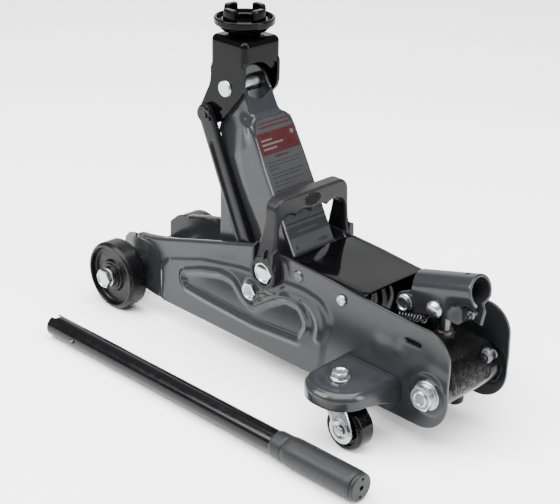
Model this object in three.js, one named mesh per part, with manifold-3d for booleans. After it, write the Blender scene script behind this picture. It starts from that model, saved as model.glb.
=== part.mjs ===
// Hydraulic floor jack (2 t trolley jack) with its saddle raised and its pump handle lying beside it.
// Millimetres, +Z up, +X towards the pump end, near side at -Y.
// Inside the jack group the origin is on the floor, under the front axle, in the jack's mid-plane.
import * as THREE from 'three';
import { mergeVertices } from 'three/addons/utils/BufferGeometryUtils.js';
import Module from 'manifold-3d';

const wasm = await Module();
wasm.setup();

// ---------------------------------------------------------------- driving dimensions
const GAP = 0.3;                        // clearance between pieces that touch
const PLATE_Y = 44.5;                   // outer face of each side plate, from the mid-plane
const SHEET = 3;                        // side plate thickness
const INNER_Y = PLATE_Y - SHEET;        // inner face of each side plate
const FLANGE = 10;                      // inward top flange of the side plates

const WHEEL_R = 37;                     // front wheels
const WHEEL_W = 23.2;
const WHEEL_Y = 58.8;                   // middle of a front wheel
const AXLE_R = 7;

const PIVOT = [217.5, 111.5];           // lift arm pivot, x and z
const ARM_L = 178.5;                    // pivot to saddle bracket pin
const ARM_ANGLE = 118.66;               // arm direction in the raised pose, from +X towards +Z
const LINK_OFFSET = [-23.8, -29.7];     // link pin from the matching arm pin, x and z
const LINK_Y0 = 31.4;                   // link rod faces, from the mid-plane
const LINK_Y1 = 37.4;
const LOWERING = 78.7;                  // arm travel from raised to lowered, degrees

const YOKE_R = 52;                      // arm pivot to yoke pin
const YOKE_PIN_R = 7;
const RAM_Z = 65.4;                     // height of the ram axis
const RAM_R = 13;

const TUBE_X = 418.2;                   // rear cross tube
const TUBE_Z = 58.5;
const TUBE_R = 15.5;

const CASTER_X = 351.3;                 // caster swivel axis
const CASTER_Y = 86.8;
const CASTER_R = 21.6;                  // caster wheel
const CASTER_TRAIL = 14.3;
const BRACKET_TOP = 63.8;               // top face of the caster brackets

const LEVER = [363.4, 120];             // pump lever fulcrum, x and z
const LEVER_TILT = 15;                  // socket slope at rest, degrees
const LEVER_BOLT = [34.1, -3.3];        // plunger bolt from the fulcrum, along and above the lever

const HANDLE_R = 11.3;                  // loose pump handle tube
const GRIP_R = 13.7;
const HANDLE_START = [11, -151.2];      // tube end, x and y
const HANDLE_L = 423;
const HANDLE_TURN = 0.72;               // degrees about Z
const GRIP_L = 100;
const BUTTON = 42;                      // spring button, from the tube's open end

// ---------------------------------------------------------------- materials
const finish = (color, roughness, metalness) => new THREE.MeshStandardMaterial({ color, roughness, metalness });
const greyPaint = finish(0x6e6f72, 0.35, 0.1);
const darkPaint = finish(0x3f4043, 0.35, 0.1);
const blackPaint = finish(0x161617, 0.25, 0.1);
const castBlack = finish(0x1b1b1c, 0.6, 0.1);
const zinc = finish(0xc9cacb, 0.3, 0.9);
const steel = finish(0xa9abad, 0.3, 0.9);
const springSteel = finish(0x55575a, 0.4, 0.8);
const greyPlastic = finish(0x4a4b4e, 0.5, 0);
const blackPlastic = finish(0x151516, 0.3, 0);

// ---------------------------------------------------------------- solids
const rad = THREE.MathUtils.degToRad;

// Closed three.js geometry to a solid: positions welded, flattened triangles dropped.
function solid(geometry) {
  const bare = new THREE.BufferGeometry();
  bare.setAttribute('position', geometry.getAttribute('position'));
  if (geometry.index) bare.setIndex(geometry.index);
  const merged = mergeVertices(bare, 1e-4);
  const index = merged.index.array;
  const triangles = [];
  for (let i = 0; i < index.length; i += 3) {
    const [a, b, c] = [index[i], index[i + 1], index[i + 2]];
    if (a !== b && b !== c && c !== a) triangles.push(a, b, c);
  }
  return new wasm.Manifold(new wasm.Mesh({
    numProp: 3,
    vertProperties: new Float32Array(merged.getAttribute('position').array),
    triVerts: new Uint32Array(triangles),
  }));
}

// Shape from corner points [u, v, fillet radius].
function outline(corners) {
  const shape = new THREE.Shape();
  corners.forEach(([u, v, r = 0], i) => {
    const before = corners[(i + corners.length - 1) % corners.length];
    const after = corners[(i + 1) % corners.length];
    const corner = new THREE.Vector2(u, v);
    const back = new THREE.Vector2(before[0], before[1]).sub(corner).normalize();
    const ahead = new THREE.Vector2(after[0], after[1]).sub(corner).normalize();
    const half = Math.acos(THREE.MathUtils.clamp(back.dot(ahead), -1, 1)) / 2;
    const line = i === 0 ? 'moveTo' : 'lineTo';
    if (r <= 0 || half > 1.55) {
      shape[line](u, v);
      return;
    }
    const reach = r / Math.tan(half);
    const from = corner.clone().addScaledVector(back, reach);
    const to = corner.clone().addScaledVector(ahead, reach);
    const centre = back.clone().add(ahead).normalize().multiplyScalar(r / Math.sin(half)).add(corner);
    const start = Math.atan2(from.y - centre.y, from.x - centre.x);
    const end = Math.atan2(to.y - centre.y, to.x - centre.x);
    shape[line](from.x, from.y);
    shape.absarc(centre.x, centre.y, r, start, end, back.cross(ahead) > 0);
  });
  return shape;
}

// Axis frames: a section drawn in (u, v) is pushed along the named axis.
const FRAMES = {
  x: new THREE.Matrix4().makeBasis(new THREE.Vector3(0, 1, 0), new THREE.Vector3(0, 0, 1), new THREE.Vector3(1, 0, 0)),
  y: new THREE.Matrix4().makeBasis(new THREE.Vector3(1, 0, 0), new THREE.Vector3(0, 0, 1), new THREE.Vector3(0, -1, 0)),
  z: new THREE.Matrix4(),
};

// Prism of a section between two places along x, y or z. Section: (y, z), (x, z) or (x, y).
function prism(axis, section, one, two, curveSegments = 3) {
  const shape = section instanceof THREE.Shape ? section : outline(section);
  const geometry = new THREE.ExtrudeGeometry(shape, { depth: Math.abs(two - one), bevelEnabled: false, curveSegments });
  const sign = axis === 'y' ? -1 : 1;
  geometry.translate(0, 0, sign > 0 ? Math.min(one, two) : -Math.max(one, two));
  geometry.applyMatrix4(FRAMES[axis]);
  return solid(geometry);
}

function block(x0, x1, y0, y1, z0, z1) {
  return prism('z', [[x0, y0], [x1, y0], [x1, y1], [x0, y1]], z0, z1);
}

// Round part from a closed profile of [radius, place along the axis], about x, y or z through `at`.
function turned(axis, profile, at = [0, 0, 0], segments = 24) {
  const points = profile.map(([r, t]) => new THREE.Vector2(r, t));
  if (profile[0][0] > 0) points.push(points[0].clone());
  let area = 0;
  profile.forEach(([r, t], i) => {
    const [r2, t2] = profile[(i + 1) % profile.length];
    area += r * t2 - r2 * t;
  });
  if (area < 0) points.reverse();
  const geometry = new THREE.LatheGeometry(points, segments);
  if (axis === 'x') geometry.rotateZ(-Math.PI / 2);
  if (axis === 'z') geometry.rotateX(Math.PI / 2);
  geometry.translate(...at);
  return solid(geometry);
}

function rod(axis, r, one, two, at = [0, 0, 0], segments = 20) {
  const [low, high] = [Math.min(one, two), Math.max(one, two)];
  return turned(axis, [[0, low], [r, low], [r, high], [0, high]], at, segments);
}

// Hexagon prism of a nut or bolt head, by its radius over corners.
function hex(axis, r, one, two, at = [0, 0, 0]) {
  return rod(axis, r, one, two, at, 6);
}

function joined(first, ...rest) {
  return rest.reduce((sum, next) => sum.add(next), first);
}

function cut(first, ...rest) {
  return rest.reduce((sum, next) => sum.subtract(next), first);
}

function part(name, manifold, material) {
  const { vertProperties, triVerts } = manifold.getMesh();
  const geometry = new THREE.BufferGeometry();
  geometry.setAttribute('position', new THREE.BufferAttribute(new Float32Array(vertProperties), 3));
  geometry.setIndex(new THREE.BufferAttribute(new Uint32Array(triVerts), 1));
  geometry.computeVertexNormals();
  const mesh = new THREE.Mesh(geometry, material);
  mesh.name = name;
  return mesh;
}

const jack = new THREE.Group();
const SIDES = [['near', -1], ['far', 1]];
const [PX, PZ] = PIVOT;
const armDirection = [Math.cos(rad(ARM_ANGLE)), Math.sin(rad(ARM_ANGLE))];
const BRACKET_PIN = [PX + ARM_L * armDirection[0], PZ + ARM_L * armDirection[1]];
const LINK_LOW = [PX + LINK_OFFSET[0], PZ + LINK_OFFSET[1]];
const LINK_HIGH = [BRACKET_PIN[0] + LINK_OFFSET[0], BRACKET_PIN[1] + LINK_OFFSET[1]];
// The yoke pin swings evenly to both sides of straight down between raised and lowered.
const YOKE_ANGLE = 270 - LOWERING / 2;
const YOKE = [PX + YOKE_R * Math.cos(rad(YOKE_ANGLE)), PZ + YOKE_R * Math.sin(rad(YOKE_ANGLE))];
const RAM_TRAVEL = 2 * YOKE_R * Math.sin(rad(LOWERING / 2));

// ---------------------------------------------------------------- frame
// Side plates: bottom edge straight, top edge rising to the pivot, inward flange on the front slope.
const TOP_EDGE = [[6, 80.5], [54, 91], [123, 110.5], [197, 131]];
const BOLT_HOLE_R = 5.4;
const PIVOT_HOLE_R = 8.3;
for (const [side, s] of SIDES) {
  const edge = [
    [-18, 22.5, 8], [439.3, 22.5, 30], [439.3, 119.5, 26], [388, 120.5], [327, 124.2], [284, 128.3],
    [245, 130.7], [197, 131], ...TOP_EDGE.slice(0, 3).reverse(), [3, 79], [-8, 76], [-18, 67, 4],
  ];
  const strip = [...TOP_EDGE, ...TOP_EDGE.slice().reverse().map(([x, z]) => [x, z - SHEET])];
  // The flange narrows behind the nose, where the link rods swing past it.
  const flangePlan = [[0, s * PLATE_Y], [0, s * (PLATE_Y - FLANGE)], [50, s * (PLATE_Y - FLANGE)],
    [75, s * (LINK_Y1 + 0.6)], [205, s * (LINK_Y1 + 0.6)], [205, s * PLATE_Y]];
  const plate = joined(
    prism('y', edge, s * INNER_Y, s * PLATE_Y, 4),
    prism('y', strip, s * 30, s * 50).intersect(prism('z', flangePlan, 50, 150)),
  );
  const holes = [
    rod('y', AXLE_R + GAP, s * 40, s * 46, [0, 0, WHEEL_R]),
    rod('y', PIVOT_HOLE_R, s * 40, s * 46, [PX, 0, PZ]),
    rod('y', BOLT_HOLE_R, s * 40, s * 46, [LINK_LOW[0], 0, LINK_LOW[1]], 16),
    rod('y', 8, s * 40, s * 46, [TUBE_X, 0, TUBE_Z]),
    rod('y', 3.3, s * 40, s * 46, [312, 0, 113.5], 12),
    prism('y', [[388, 100, 2.4], [407, 100, 2.4], [407, 105, 2.4], [388, 105, 2.4]], s * 40, s * 46, 3),
  ];
  jack.add(part(`side_plate_${side}`, cut(plate, ...holes), greyPaint));
}

// Front axle with a bolt and washer outside each wheel, and a cross plate ahead of it.
const AXLE_END = WHEEL_Y + WHEEL_W / 2 + 1;
jack.add(part('front_axle', rod('y', AXLE_R, -AXLE_END, AXLE_END, [0, 0, WHEEL_R]), steel));
jack.add(part('front_cross_plate', prism('x', [
  [-INNER_Y + GAP, 27, 3], [INNER_Y - GAP, 27, 3], [INNER_Y - GAP, 52, 3], [-INNER_Y + GAP, 52, 3],
], -14, -11, 3), greyPaint));
for (const [side, s] of SIDES) {
  const washer = rod('y', 11, s * (AXLE_END + GAP), s * (AXLE_END + 2), [0, 0, WHEEL_R]);
  const head = hex('y', 9.2, s * (AXLE_END + 1), s * (AXLE_END + 8), [0, 0, WHEEL_R]);
  jack.add(part(`axle_bolt_${side}`, joined(washer, head), zinc));
}

// Rear cross tube, held by a nut at each side plate.
jack.add(part('rear_cross_tube', rod('y', TUBE_R, -(INNER_Y - GAP), INNER_Y - GAP, [TUBE_X, 0, TUBE_Z], 28), blackPaint));
for (const [side, s] of SIDES) {
  const at = [TUBE_X, 0, TUBE_Z];
  const nut = joined(
    rod('y', 7.5, s * INNER_Y, s * (PLATE_Y + 1), at),
    rod('y', 14, s * (PLATE_Y + GAP), s * (PLATE_Y + 2.3), at),
    hex('y', 12.5, s * (PLATE_Y + 2), s * (PLATE_Y + 9.5), at),
    rod('y', 7, s * (PLATE_Y + 9), s * (PLATE_Y + 12), at),
  );
  jack.add(part(`rear_nut_${side}`, nut, zinc));
}

// Main pivot bolt: head outside the near plate, nut outside the far one, recessed in the carry handle.
const PIVOT_FACE = PLATE_Y + 11;
jack.add(part('main_pivot_bolt', joined(
  rod('y', 8, -(PIVOT_FACE - 6), PIVOT_FACE - 7, [PX, 0, PZ]),
  hex('y', 11.6, -PIVOT_FACE, -(PIVOT_FACE - 6.5), [PX, 0, PZ]),
), zinc));
jack.add(part('main_pivot_nut', hex('y', 11.6, PIVOT_FACE - 6.7, PIVOT_FACE, [PX, 0, PZ]), zinc));

// Link pivot bolts: head outside the plate, collar and retaining flange inside it.
for (const [side, s] of SIDES) {
  const at = [LINK_LOW[0], 0, LINK_LOW[1]];
  const bolt = joined(
    rod('y', 5, s * (LINK_Y0 - 1), s * (PLATE_Y + 1), at, 16),
    rod('y', 7, s * (LINK_Y0 - 1.3), s * (LINK_Y0 - GAP), at, 16),
    rod('y', 8, s * (LINK_Y1 + GAP), s * (INNER_Y - GAP), at, 16),
    hex('y', 9.2, s * (PLATE_Y + GAP), s * (PLATE_Y + 7), at),
  );
  jack.add(part(`link_bolt_${side}`, bolt, zinc));
}

// Cover plate over the hydraulic unit, side lips down inside the plates, and its screws.
const COVER = [242.5, 338];
const coverSkin = (inset) => [
  [COVER[0], 100], [COVER[1], 100], [COVER[1], 127 - inset], [COVER[0], 131 - inset],
];
jack.add(part('cover_plate', cut(
  prism('y', coverSkin(0), -(INNER_Y - GAP), INNER_Y - GAP),
  prism('y', coverSkin(2).map(([x, z], i) => [i === 0 || i === 3 ? x - 1 : x + 1, i < 2 ? z - 1 : z]),
    -(INNER_Y - 2.3), INNER_Y - 2.3),
  rod('y', 3.3, -50, 50, [312, 0, 113.5], 12),
), blackPaint));
for (const [side, s] of SIDES) {
  const at = [312, 0, 113.5];
  jack.add(part(`cover_screw_${side}`, joined(
    rod('y', 3, s * (INNER_Y - 5), s * (PLATE_Y + 1), at, 12),
    turned('y', [[0, s * (PLATE_Y + GAP)], [5.5, s * (PLATE_Y + GAP)], [4.6, s * (PLATE_Y + 2.4)],
      [2.6, s * (PLATE_Y + 3.4)], [0, s * (PLATE_Y + 3.7)]], at, 12),
  ), zinc));
}

// Caster brackets: top plate and skirt around the swivel, skirt deeper towards the side plate.
const SKIRT_R = 30;
const SKIRT_END = CASTER_Y + SKIRT_R;
for (const [side, s] of SIDES) {
  const plan = (inset) => {
    const half = SKIRT_R + 2 - inset;
    const wall = PLATE_Y + GAP - (inset > 0 ? 5 : 0);
    const end = SKIRT_END - inset;
    return [
      [CASTER_X - half, s * wall], [CASTER_X + half, s * wall],
      [CASTER_X + half - 2, s * end, SKIRT_R - inset - 3], [CASTER_X - half + 2, s * end, SKIRT_R - inset - 3],
    ];
  };
  const below = [[s * 40, 36], [s * 68, 46], [s * 125, 46], [s * 125, 20], [s * 40, 20]];
  const bracket = cut(
    prism('z', plan(0), 30, BRACKET_TOP, 8),
    prism('z', plan(3), 29, BRACKET_TOP - 3, 8),
    prism('x', below, CASTER_X - 60, CASTER_X + 60),
    rod('z', 5.4, 50, 70, [CASTER_X, s * CASTER_Y, 0]),
  );
  jack.add(part(`caster_bracket_${side}`, bracket, greyPaint));
}

// ---------------------------------------------------------------- hydraulic unit
// Cast base around the rear cross tube, with ears for the pump lever and the pump barrel.
const BASE_FRONT = 352;
const BASE_REAR = 424;
const RESERVOIR_R = 26;
const PLUNGER_X = LEVER[0] + 34;
const VALVE = [22, 79];                 // release valve axis, y and z
const base = cut(
  joined(
    prism('y', [[BASE_FRONT, 34, 6], [396, 34, 4], [402, 46, 4], [BASE_REAR, 62, 4], [BASE_REAR, 88, 6],
      [BASE_FRONT, 96, 6]], -30, 30),
    prism('y', [[352.2, 90], [376, 90], [372, 128.5, 8], [354.8, 128.5, 8]], -10.5, 10.5),
    rod('z', 11, 86, 97, [PLUNGER_X, 0, 0]),
  ),
  rod('y', TUBE_R + GAP, -50, 50, [TUBE_X, 0, TUBE_Z], 28),
  rod('z', 6.4, 60, 120, [PLUNGER_X, 0, 0]),
  rod('y', 5.4, -20, 20, [LEVER[0], 0, LEVER[1]], 16),
  rod('x', 4, 405, 430, [0, ...VALVE], 12),
);
jack.add(part('hydraulic_base', base, castBlack));

// Oil reservoir with the ram bore open to the front.
const RESERVOIR_FRONT = 267;
jack.add(part('oil_reservoir', cut(
  rod('x', RESERVOIR_R, RESERVOIR_FRONT, BASE_FRONT - GAP, [0, 0, RAM_Z], 28),
  rod('x', RAM_R + 0.4, RESERVOIR_FRONT - 1, BASE_FRONT - 8, [0, 0, RAM_Z]),
), blackPaint));
jack.add(part('lever_pin', joined(
  rod('y', 5, -17.5, 17.5, [LEVER[0], 0, LEVER[1]], 16),
  hex('y', 8, -20.5, -15.8, [LEVER[0], 0, LEVER[1]]),
  rod('y', 7, 15.8, 19.5, [LEVER[0], 0, LEVER[1]], 16),
), zinc));

// Ram rod and its head: the yoke pin rises and falls in the head's upright slot.
const HEAD_HALF = 14;
jack.add(part('ram_rod', rod('x', RAM_R, YOKE[0] + HEAD_HALF + GAP, 276, [0, 0, RAM_Z]), steel));
const slotHalf = YOKE_R * (1 - Math.cos(rad(LOWERING / 2))) / 2 + YOKE_PIN_R + 0.8;
const slotWidth = YOKE_PIN_R + 1.8;
jack.add(part('ram_head', cut(
  prism('y', [[YOKE[0] - HEAD_HALF, RAM_Z - 20, 5], [YOKE[0] + HEAD_HALF, RAM_Z - 20, 5],
    [YOKE[0] + HEAD_HALF, RAM_Z + 20, 5], [YOKE[0] - HEAD_HALF, RAM_Z + 20, 5]], -16, 16),
  prism('y', [[YOKE[0] - slotWidth, RAM_Z - slotHalf, 7], [YOKE[0] + slotWidth, RAM_Z - slotHalf, 7],
    [YOKE[0] + slotWidth, RAM_Z + slotHalf, 7], [YOKE[0] - slotWidth, RAM_Z + slotHalf, 7]], -20, 20),
), steel));

// Release valve: spindle and cross pin at the rear of the base.
jack.add(part('release_valve', joined(
  rod('x', 3.6, 412, 430, [0, ...VALVE], 12),
  rod('x', 7, BASE_REAR + 2.5, 434, [0, ...VALVE], 16),
  rod('z', 2.2, VALVE[1] - 7.3, VALVE[1] + 7.3, [430.5, VALVE[0], 0], 10),
), steel));

// Pump plunger: rod, and an eye with a level slot for the lever bolt.
const rise = rad(LEVER_TILT);
const [BOLT_A, BOLT_B] = LEVER_BOLT;
const BOLT = [
  LEVER[0] + BOLT_A * Math.cos(rise) - BOLT_B * Math.sin(rise),
  LEVER[1] + BOLT_A * Math.sin(rise) + BOLT_B * Math.cos(rise),
];
const BOLT_R = 4.5;
jack.add(part('pump_plunger', cut(
  joined(
    rod('z', 6, 78, BOLT[1] - 7, [PLUNGER_X, 0, 0]),
    prism('y', [[BOLT[0] - 22, BOLT[1] - 10, 5], [BOLT[0] + 7.8, BOLT[1] - 10, 5],
      [BOLT[0] + 7.8, BOLT[1] + 9.5, 5], [BOLT[0] - 22, BOLT[1] + 9.5, 5]], -6, 6),
  ),
  prism('y', [[BOLT[0] - 18, BOLT[1] - 5.8, 5.5], [BOLT[0] + 5.5, BOLT[1] - 5.8, 5.5],
    [BOLT[0] + 5.5, BOLT[1] + 5.8, 5.5], [BOLT[0] - 18, BOLT[1] + 5.8, 5.5]], -10, 10),
), steel));

// ---------------------------------------------------------------- pump lever with handle socket
const lever = new THREE.Group();
lever.position.set(LEVER[0], 0, LEVER[1]);
lever.rotation.y = -rise;
const SOCKET = { start: 12, end: 76.3, height: 12, outer: 15.5, inner: 12.3, open: 51.5 };
const cheekOutline = [[-9, -9, 6], [46, -9, 6], [50, 0, 4], [56, 12], [14, 22], [4, 12, 4], [-9, 9, 6]];
lever.add(part('lever_socket', cut(
  joined(
    rod('x', SOCKET.outer, SOCKET.start, SOCKET.end, [0, 0, SOCKET.height], 24),
    prism('y', cheekOutline, -SOCKET.outer, SOCKET.outer),
    prism('y', [[51, -15, 3], [67, -22, 3], [75, -8, 3], [74, 1], [54, 2]], -5.5, 5.5),
  ),
  block(-20, SOCKET.open, -SOCKET.inner, SOCKET.inner, -30, SOCKET.height),
  block(-20, SOCKET.start, -SOCKET.inner, SOCKET.inner, -30, 60),
  rod('x', SOCKET.inner, SOCKET.start + 3, SOCKET.end + 1, [0, 0, SOCKET.height], 24),
  rod('z', 2.4, SOCKET.height, 40, [SOCKET.end - 12, 0, 0], 10),
  rod('y', 5.3, -20, 20, [0, 0, 0], 16),
  rod('y', BOLT_R + GAP, -20, 20, [BOLT_A, 0, BOLT_B], 16),
  rod('y', 2.9, -20, 20, [66, 0, -9], 12),
), darkPaint));
lever.add(part('plunger_bolt', joined(
  rod('y', BOLT_R, -17, 17, [BOLT_A, 0, BOLT_B], 16),
  turned('y', [[0, -15.8], [8, -15.8], [7.4, -18.5], [4.6, -21.4], [0, -22.6]], [BOLT_A, 0, BOLT_B], 16),
  hex('y', 8, 15.8, 20, [BOLT_A, 0, BOLT_B]),
), zinc));
lever.add(part('socket_screw', joined(
  rod('y', 2.6, -11, 11, [66, 0, -9], 12),
  rod('y', 4.6, -9, -5.8, [66, 0, -9], 12),
  hex('y', 5, 5.8, 9, [66, 0, -9]),
), zinc));
jack.add(lever);

// ---------------------------------------------------------------- lift arm
// Arm frame: x along the arm from its pivot, z away from the web, towards the arm's open side.
const arm = new THREE.Group();
arm.position.set(PX, 0, PZ);
arm.rotation.y = -rad(ARM_ANGLE);
const yokeAcross = YOKE_R * Math.sin(rad(ARM_ANGLE - YOKE_ANGLE + 180));
const yokeAlong = YOKE_R * Math.cos(rad(YOKE_ANGLE - ARM_ANGLE));
const YOKE_LOCAL = [yokeAlong, Math.abs(yokeAcross)];
const WEB = -21;                        // outer face of the web
const armSide = prism('y', [
  [-21, WEB, 13], [141, WEB, 3], [147, -17, 3], [ARM_L + 16.5, -17, 16], [ARM_L + 16.5, 17, 16], [147, 17, 5],
  [31, 79, 10], [-12, 66, 10], [YOKE_LOCAL[0] - 13.5, YOKE_LOCAL[1] + 14, 13],
  [YOKE_LOCAL[0] - 13.5, YOKE_LOCAL[1] - 12, 12], [-21, 20, 10],
], -40, 40);
const halfPlan = (s, grow) => [
  [-50, s * (29.5 - grow)], [93, s * (29.5 - grow)], [131, s * (25.5 - grow)], [146, s * (19 - grow)],
  [200, s * (19 - grow)],
];
const armWall = (s) => prism('z', [...halfPlan(s, 0), ...halfPlan(s, 3.5).reverse()], -60, 90);
const webPlan = [...halfPlan(1, 0).slice(0, 4), [154, 17], [154, -17], ...halfPlan(-1, 0).slice(0, 4).reverse()];
const armWeb = prism('z', webPlan.map(([a, y]) => [Math.max(a, -2), y]), WEB, WEB + 7.2);
const armSolid = cut(
  joined(armWall(1), armWall(-1), armWeb).intersect(armSide),
  prism('z', [[-10, -25.9], [90, -25.9], [128, -21.9], [143, -15.4], [143, 15.4], [128, 21.9], [90, 25.9],
    [-10, 25.9]], WEB + 3.6, 100),
  rod('y', PIVOT_HOLE_R + 0.3, -40, 40, [0, 0, 0]),
  rod('y', 8.7, -40, 40, [ARM_L, 0, 0]),
  rod('y', YOKE_PIN_R + GAP, -40, 40, [YOKE_LOCAL[0], 0, YOKE_LOCAL[1]]),
);
arm.add(part('lift_arm', armSolid, greyPaint));
arm.add(part('yoke_pin', rod('y', YOKE_PIN_R, -29.2, 29.2, [YOKE_LOCAL[0], 0, YOKE_LOCAL[1]]), steel));
jack.add(arm);

// ---------------------------------------------------------------- link rods
// Link frame: x along the rod from its lower eye; the upper end joggles in to the saddle bracket.
const LINK_W = 9.5;
const JOGGLE = 6.1;
for (const [side, s] of SIDES) {
  const rodGroup = new THREE.Group();
  rodGroup.position.set(LINK_LOW[0], 0, LINK_LOW[1]);
  rodGroup.rotation.y = -rad(ARM_ANGLE);
  const bar = prism('y', [
    [-LINK_W, -LINK_W, LINK_W - 0.1], [ARM_L + LINK_W, -LINK_W, LINK_W - 0.1],
    [ARM_L + LINK_W, LINK_W, LINK_W - 0.1], [-LINK_W, LINK_W, LINK_W - 0.1],
  ], -50, 50);
  const plan = [[-20, LINK_Y0], [122, LINK_Y0], [158, LINK_Y0 - JOGGLE], [200, LINK_Y0 - JOGGLE],
    [200, LINK_Y1 - JOGGLE], [158, LINK_Y1 - JOGGLE], [122, LINK_Y1], [-20, LINK_Y1]];
  const rib = prism('y', [[16, -3.4, 3.3], [146, -3.4, 3.3], [146, 3.4, 3.3], [16, 3.4, 3.3]],
    s * (LINK_Y1 - 2), s * (LINK_Y1 + 6));
  const link = cut(
    prism('z', plan.map(([a, y]) => [a, s * y]), -30, 30).intersect(bar),
    rib,
    rod('y', 5.4, -50, 50, [0, 0, 0], 16),
    rod('y', 5.6, -50, 50, [ARM_L, 0, 0], 16),
  );
  rodGroup.add(part(`link_rod_${side}`, link, darkPaint));
  jack.add(rodGroup);
}

// ---------------------------------------------------------------- saddle bracket
const BRACKET_Y = 24.4;
const BRACKET_X = [109.2, 158.8];
const BRACKET_Z = 318.5;
const bracketSide = [
  [BRACKET_X[0], BRACKET_Z, 5], [BRACKET_X[1], BRACKET_Z, 5], [BRACKET_X[1], 272, 2], [121, 229, 9],
  [105, 226, 9], [95, 241, 9], [BRACKET_X[0], 269, 6],
];
const [BX0, BX1] = BRACKET_X;
jack.add(part('saddle_bracket', cut(
  prism('y', bracketSide, -BRACKET_Y, BRACKET_Y),
  block(BX0 - 30, BX1 + 10, -(BRACKET_Y - 3.5), BRACKET_Y - 3.5, 200, 291),
  block(BX0 + 3.5, BX1 + 10, -(BRACKET_Y - 3.5), BRACKET_Y - 3.5, 200, 297.5),
  block(BX0 + 3.5, BX1 - 2.5, -(BRACKET_Y - 3.5), BRACKET_Y - 3.5, 200, BRACKET_Z - 3.5),
  rod('y', 8.5, -40, 40, [BRACKET_PIN[0], 0, BRACKET_PIN[1]]),
  rod('y', 5.4, -40, 40, [LINK_HIGH[0], 0, LINK_HIGH[1]], 16),
  rod('z', 9.4, 300, 330, [132.5, 0, 0]),
), blackPaint));
jack.add(part('saddle_pin', rod('y', 8.2, -26.6, 26.6, [BRACKET_PIN[0], 0, BRACKET_PIN[1]]), zinc));
const LINK_TOP_Y = LINK_Y1 - JOGGLE;
for (const [side, s] of SIDES) {
  const at = [LINK_HIGH[0], 0, LINK_HIGH[1]];
  jack.add(part(`link_pin_${side}`, joined(
    rod('y', 5, s * (BRACKET_Y - 4.5), s * (LINK_TOP_Y + 1), at, 16),
    rod('y', 7, s * (BRACKET_Y - 5.5), s * (BRACKET_Y - 3.8), at, 16),
    rod('y', 6.6, s * (LINK_TOP_Y + GAP), s * (LINK_TOP_Y + 2), at, 16),
  ), springSteel));
}

// ---------------------------------------------------------------- saddle
const SADDLE_X = 132.5;
const RIM_R = 29.7;
const bowl = turned('z', [
  [0, 303], [8.8, 303], [8.8, BRACKET_Z + GAP], [21, BRACKET_Z + GAP], [26, 324], [RIM_R, 331],
  [RIM_R, 335.5], [27, 335.5], [24.5, 330.5], [16, 328], [0, 328],
], [SADDLE_X, 0, 0], 24);
const lugRing = turned('z', [[16.5, 326], [22.8, 326], [22.8, 345], [17.5, 345]], [SADDLE_X, 0, 0], 24);
const notch = (turn) => {
  const geometry = new THREE.BoxGeometry(80, 15, 20);
  geometry.translate(0, 0, 342.5);
  geometry.rotateZ(rad(turn));
  geometry.translate(SADDLE_X, 0, 0);
  return solid(geometry);
};
jack.add(part('saddle', joined(bowl, cut(lugRing, notch(45), notch(135))), blackPaint));
jack.add(part('saddle_clip', turned('z', [[9.1, 306], [13, 306], [13, 308], [9.1, 308]], [SADDLE_X, 0, 0], 20), springSteel));

// ---------------------------------------------------------------- front wheels
for (const [side, s] of SIDES) {
  const profile = [
    [AXLE_R + 0.4, -10.6], [15, -10.6], [15, -6], [29, -6], [30, -11.6], [35.5, -11.6], [WHEEL_R, -10.1],
    [WHEEL_R, 10.1], [35.5, 11.6], [31, 11.6], [29.5, 6.5], [14, 5.5], [12.5, 11.9], [AXLE_R + 0.4, 11.9],
  ];
  const wheel = turned('y', profile.map(([r, t]) => [r, s * t]), [0, 0, 0], 26);
  const mesh = part(`front_wheel_${side}`, wheel, darkPaint);
  mesh.position.set(0, s * WHEEL_Y, WHEEL_R);
  jack.add(mesh);
}

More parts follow.
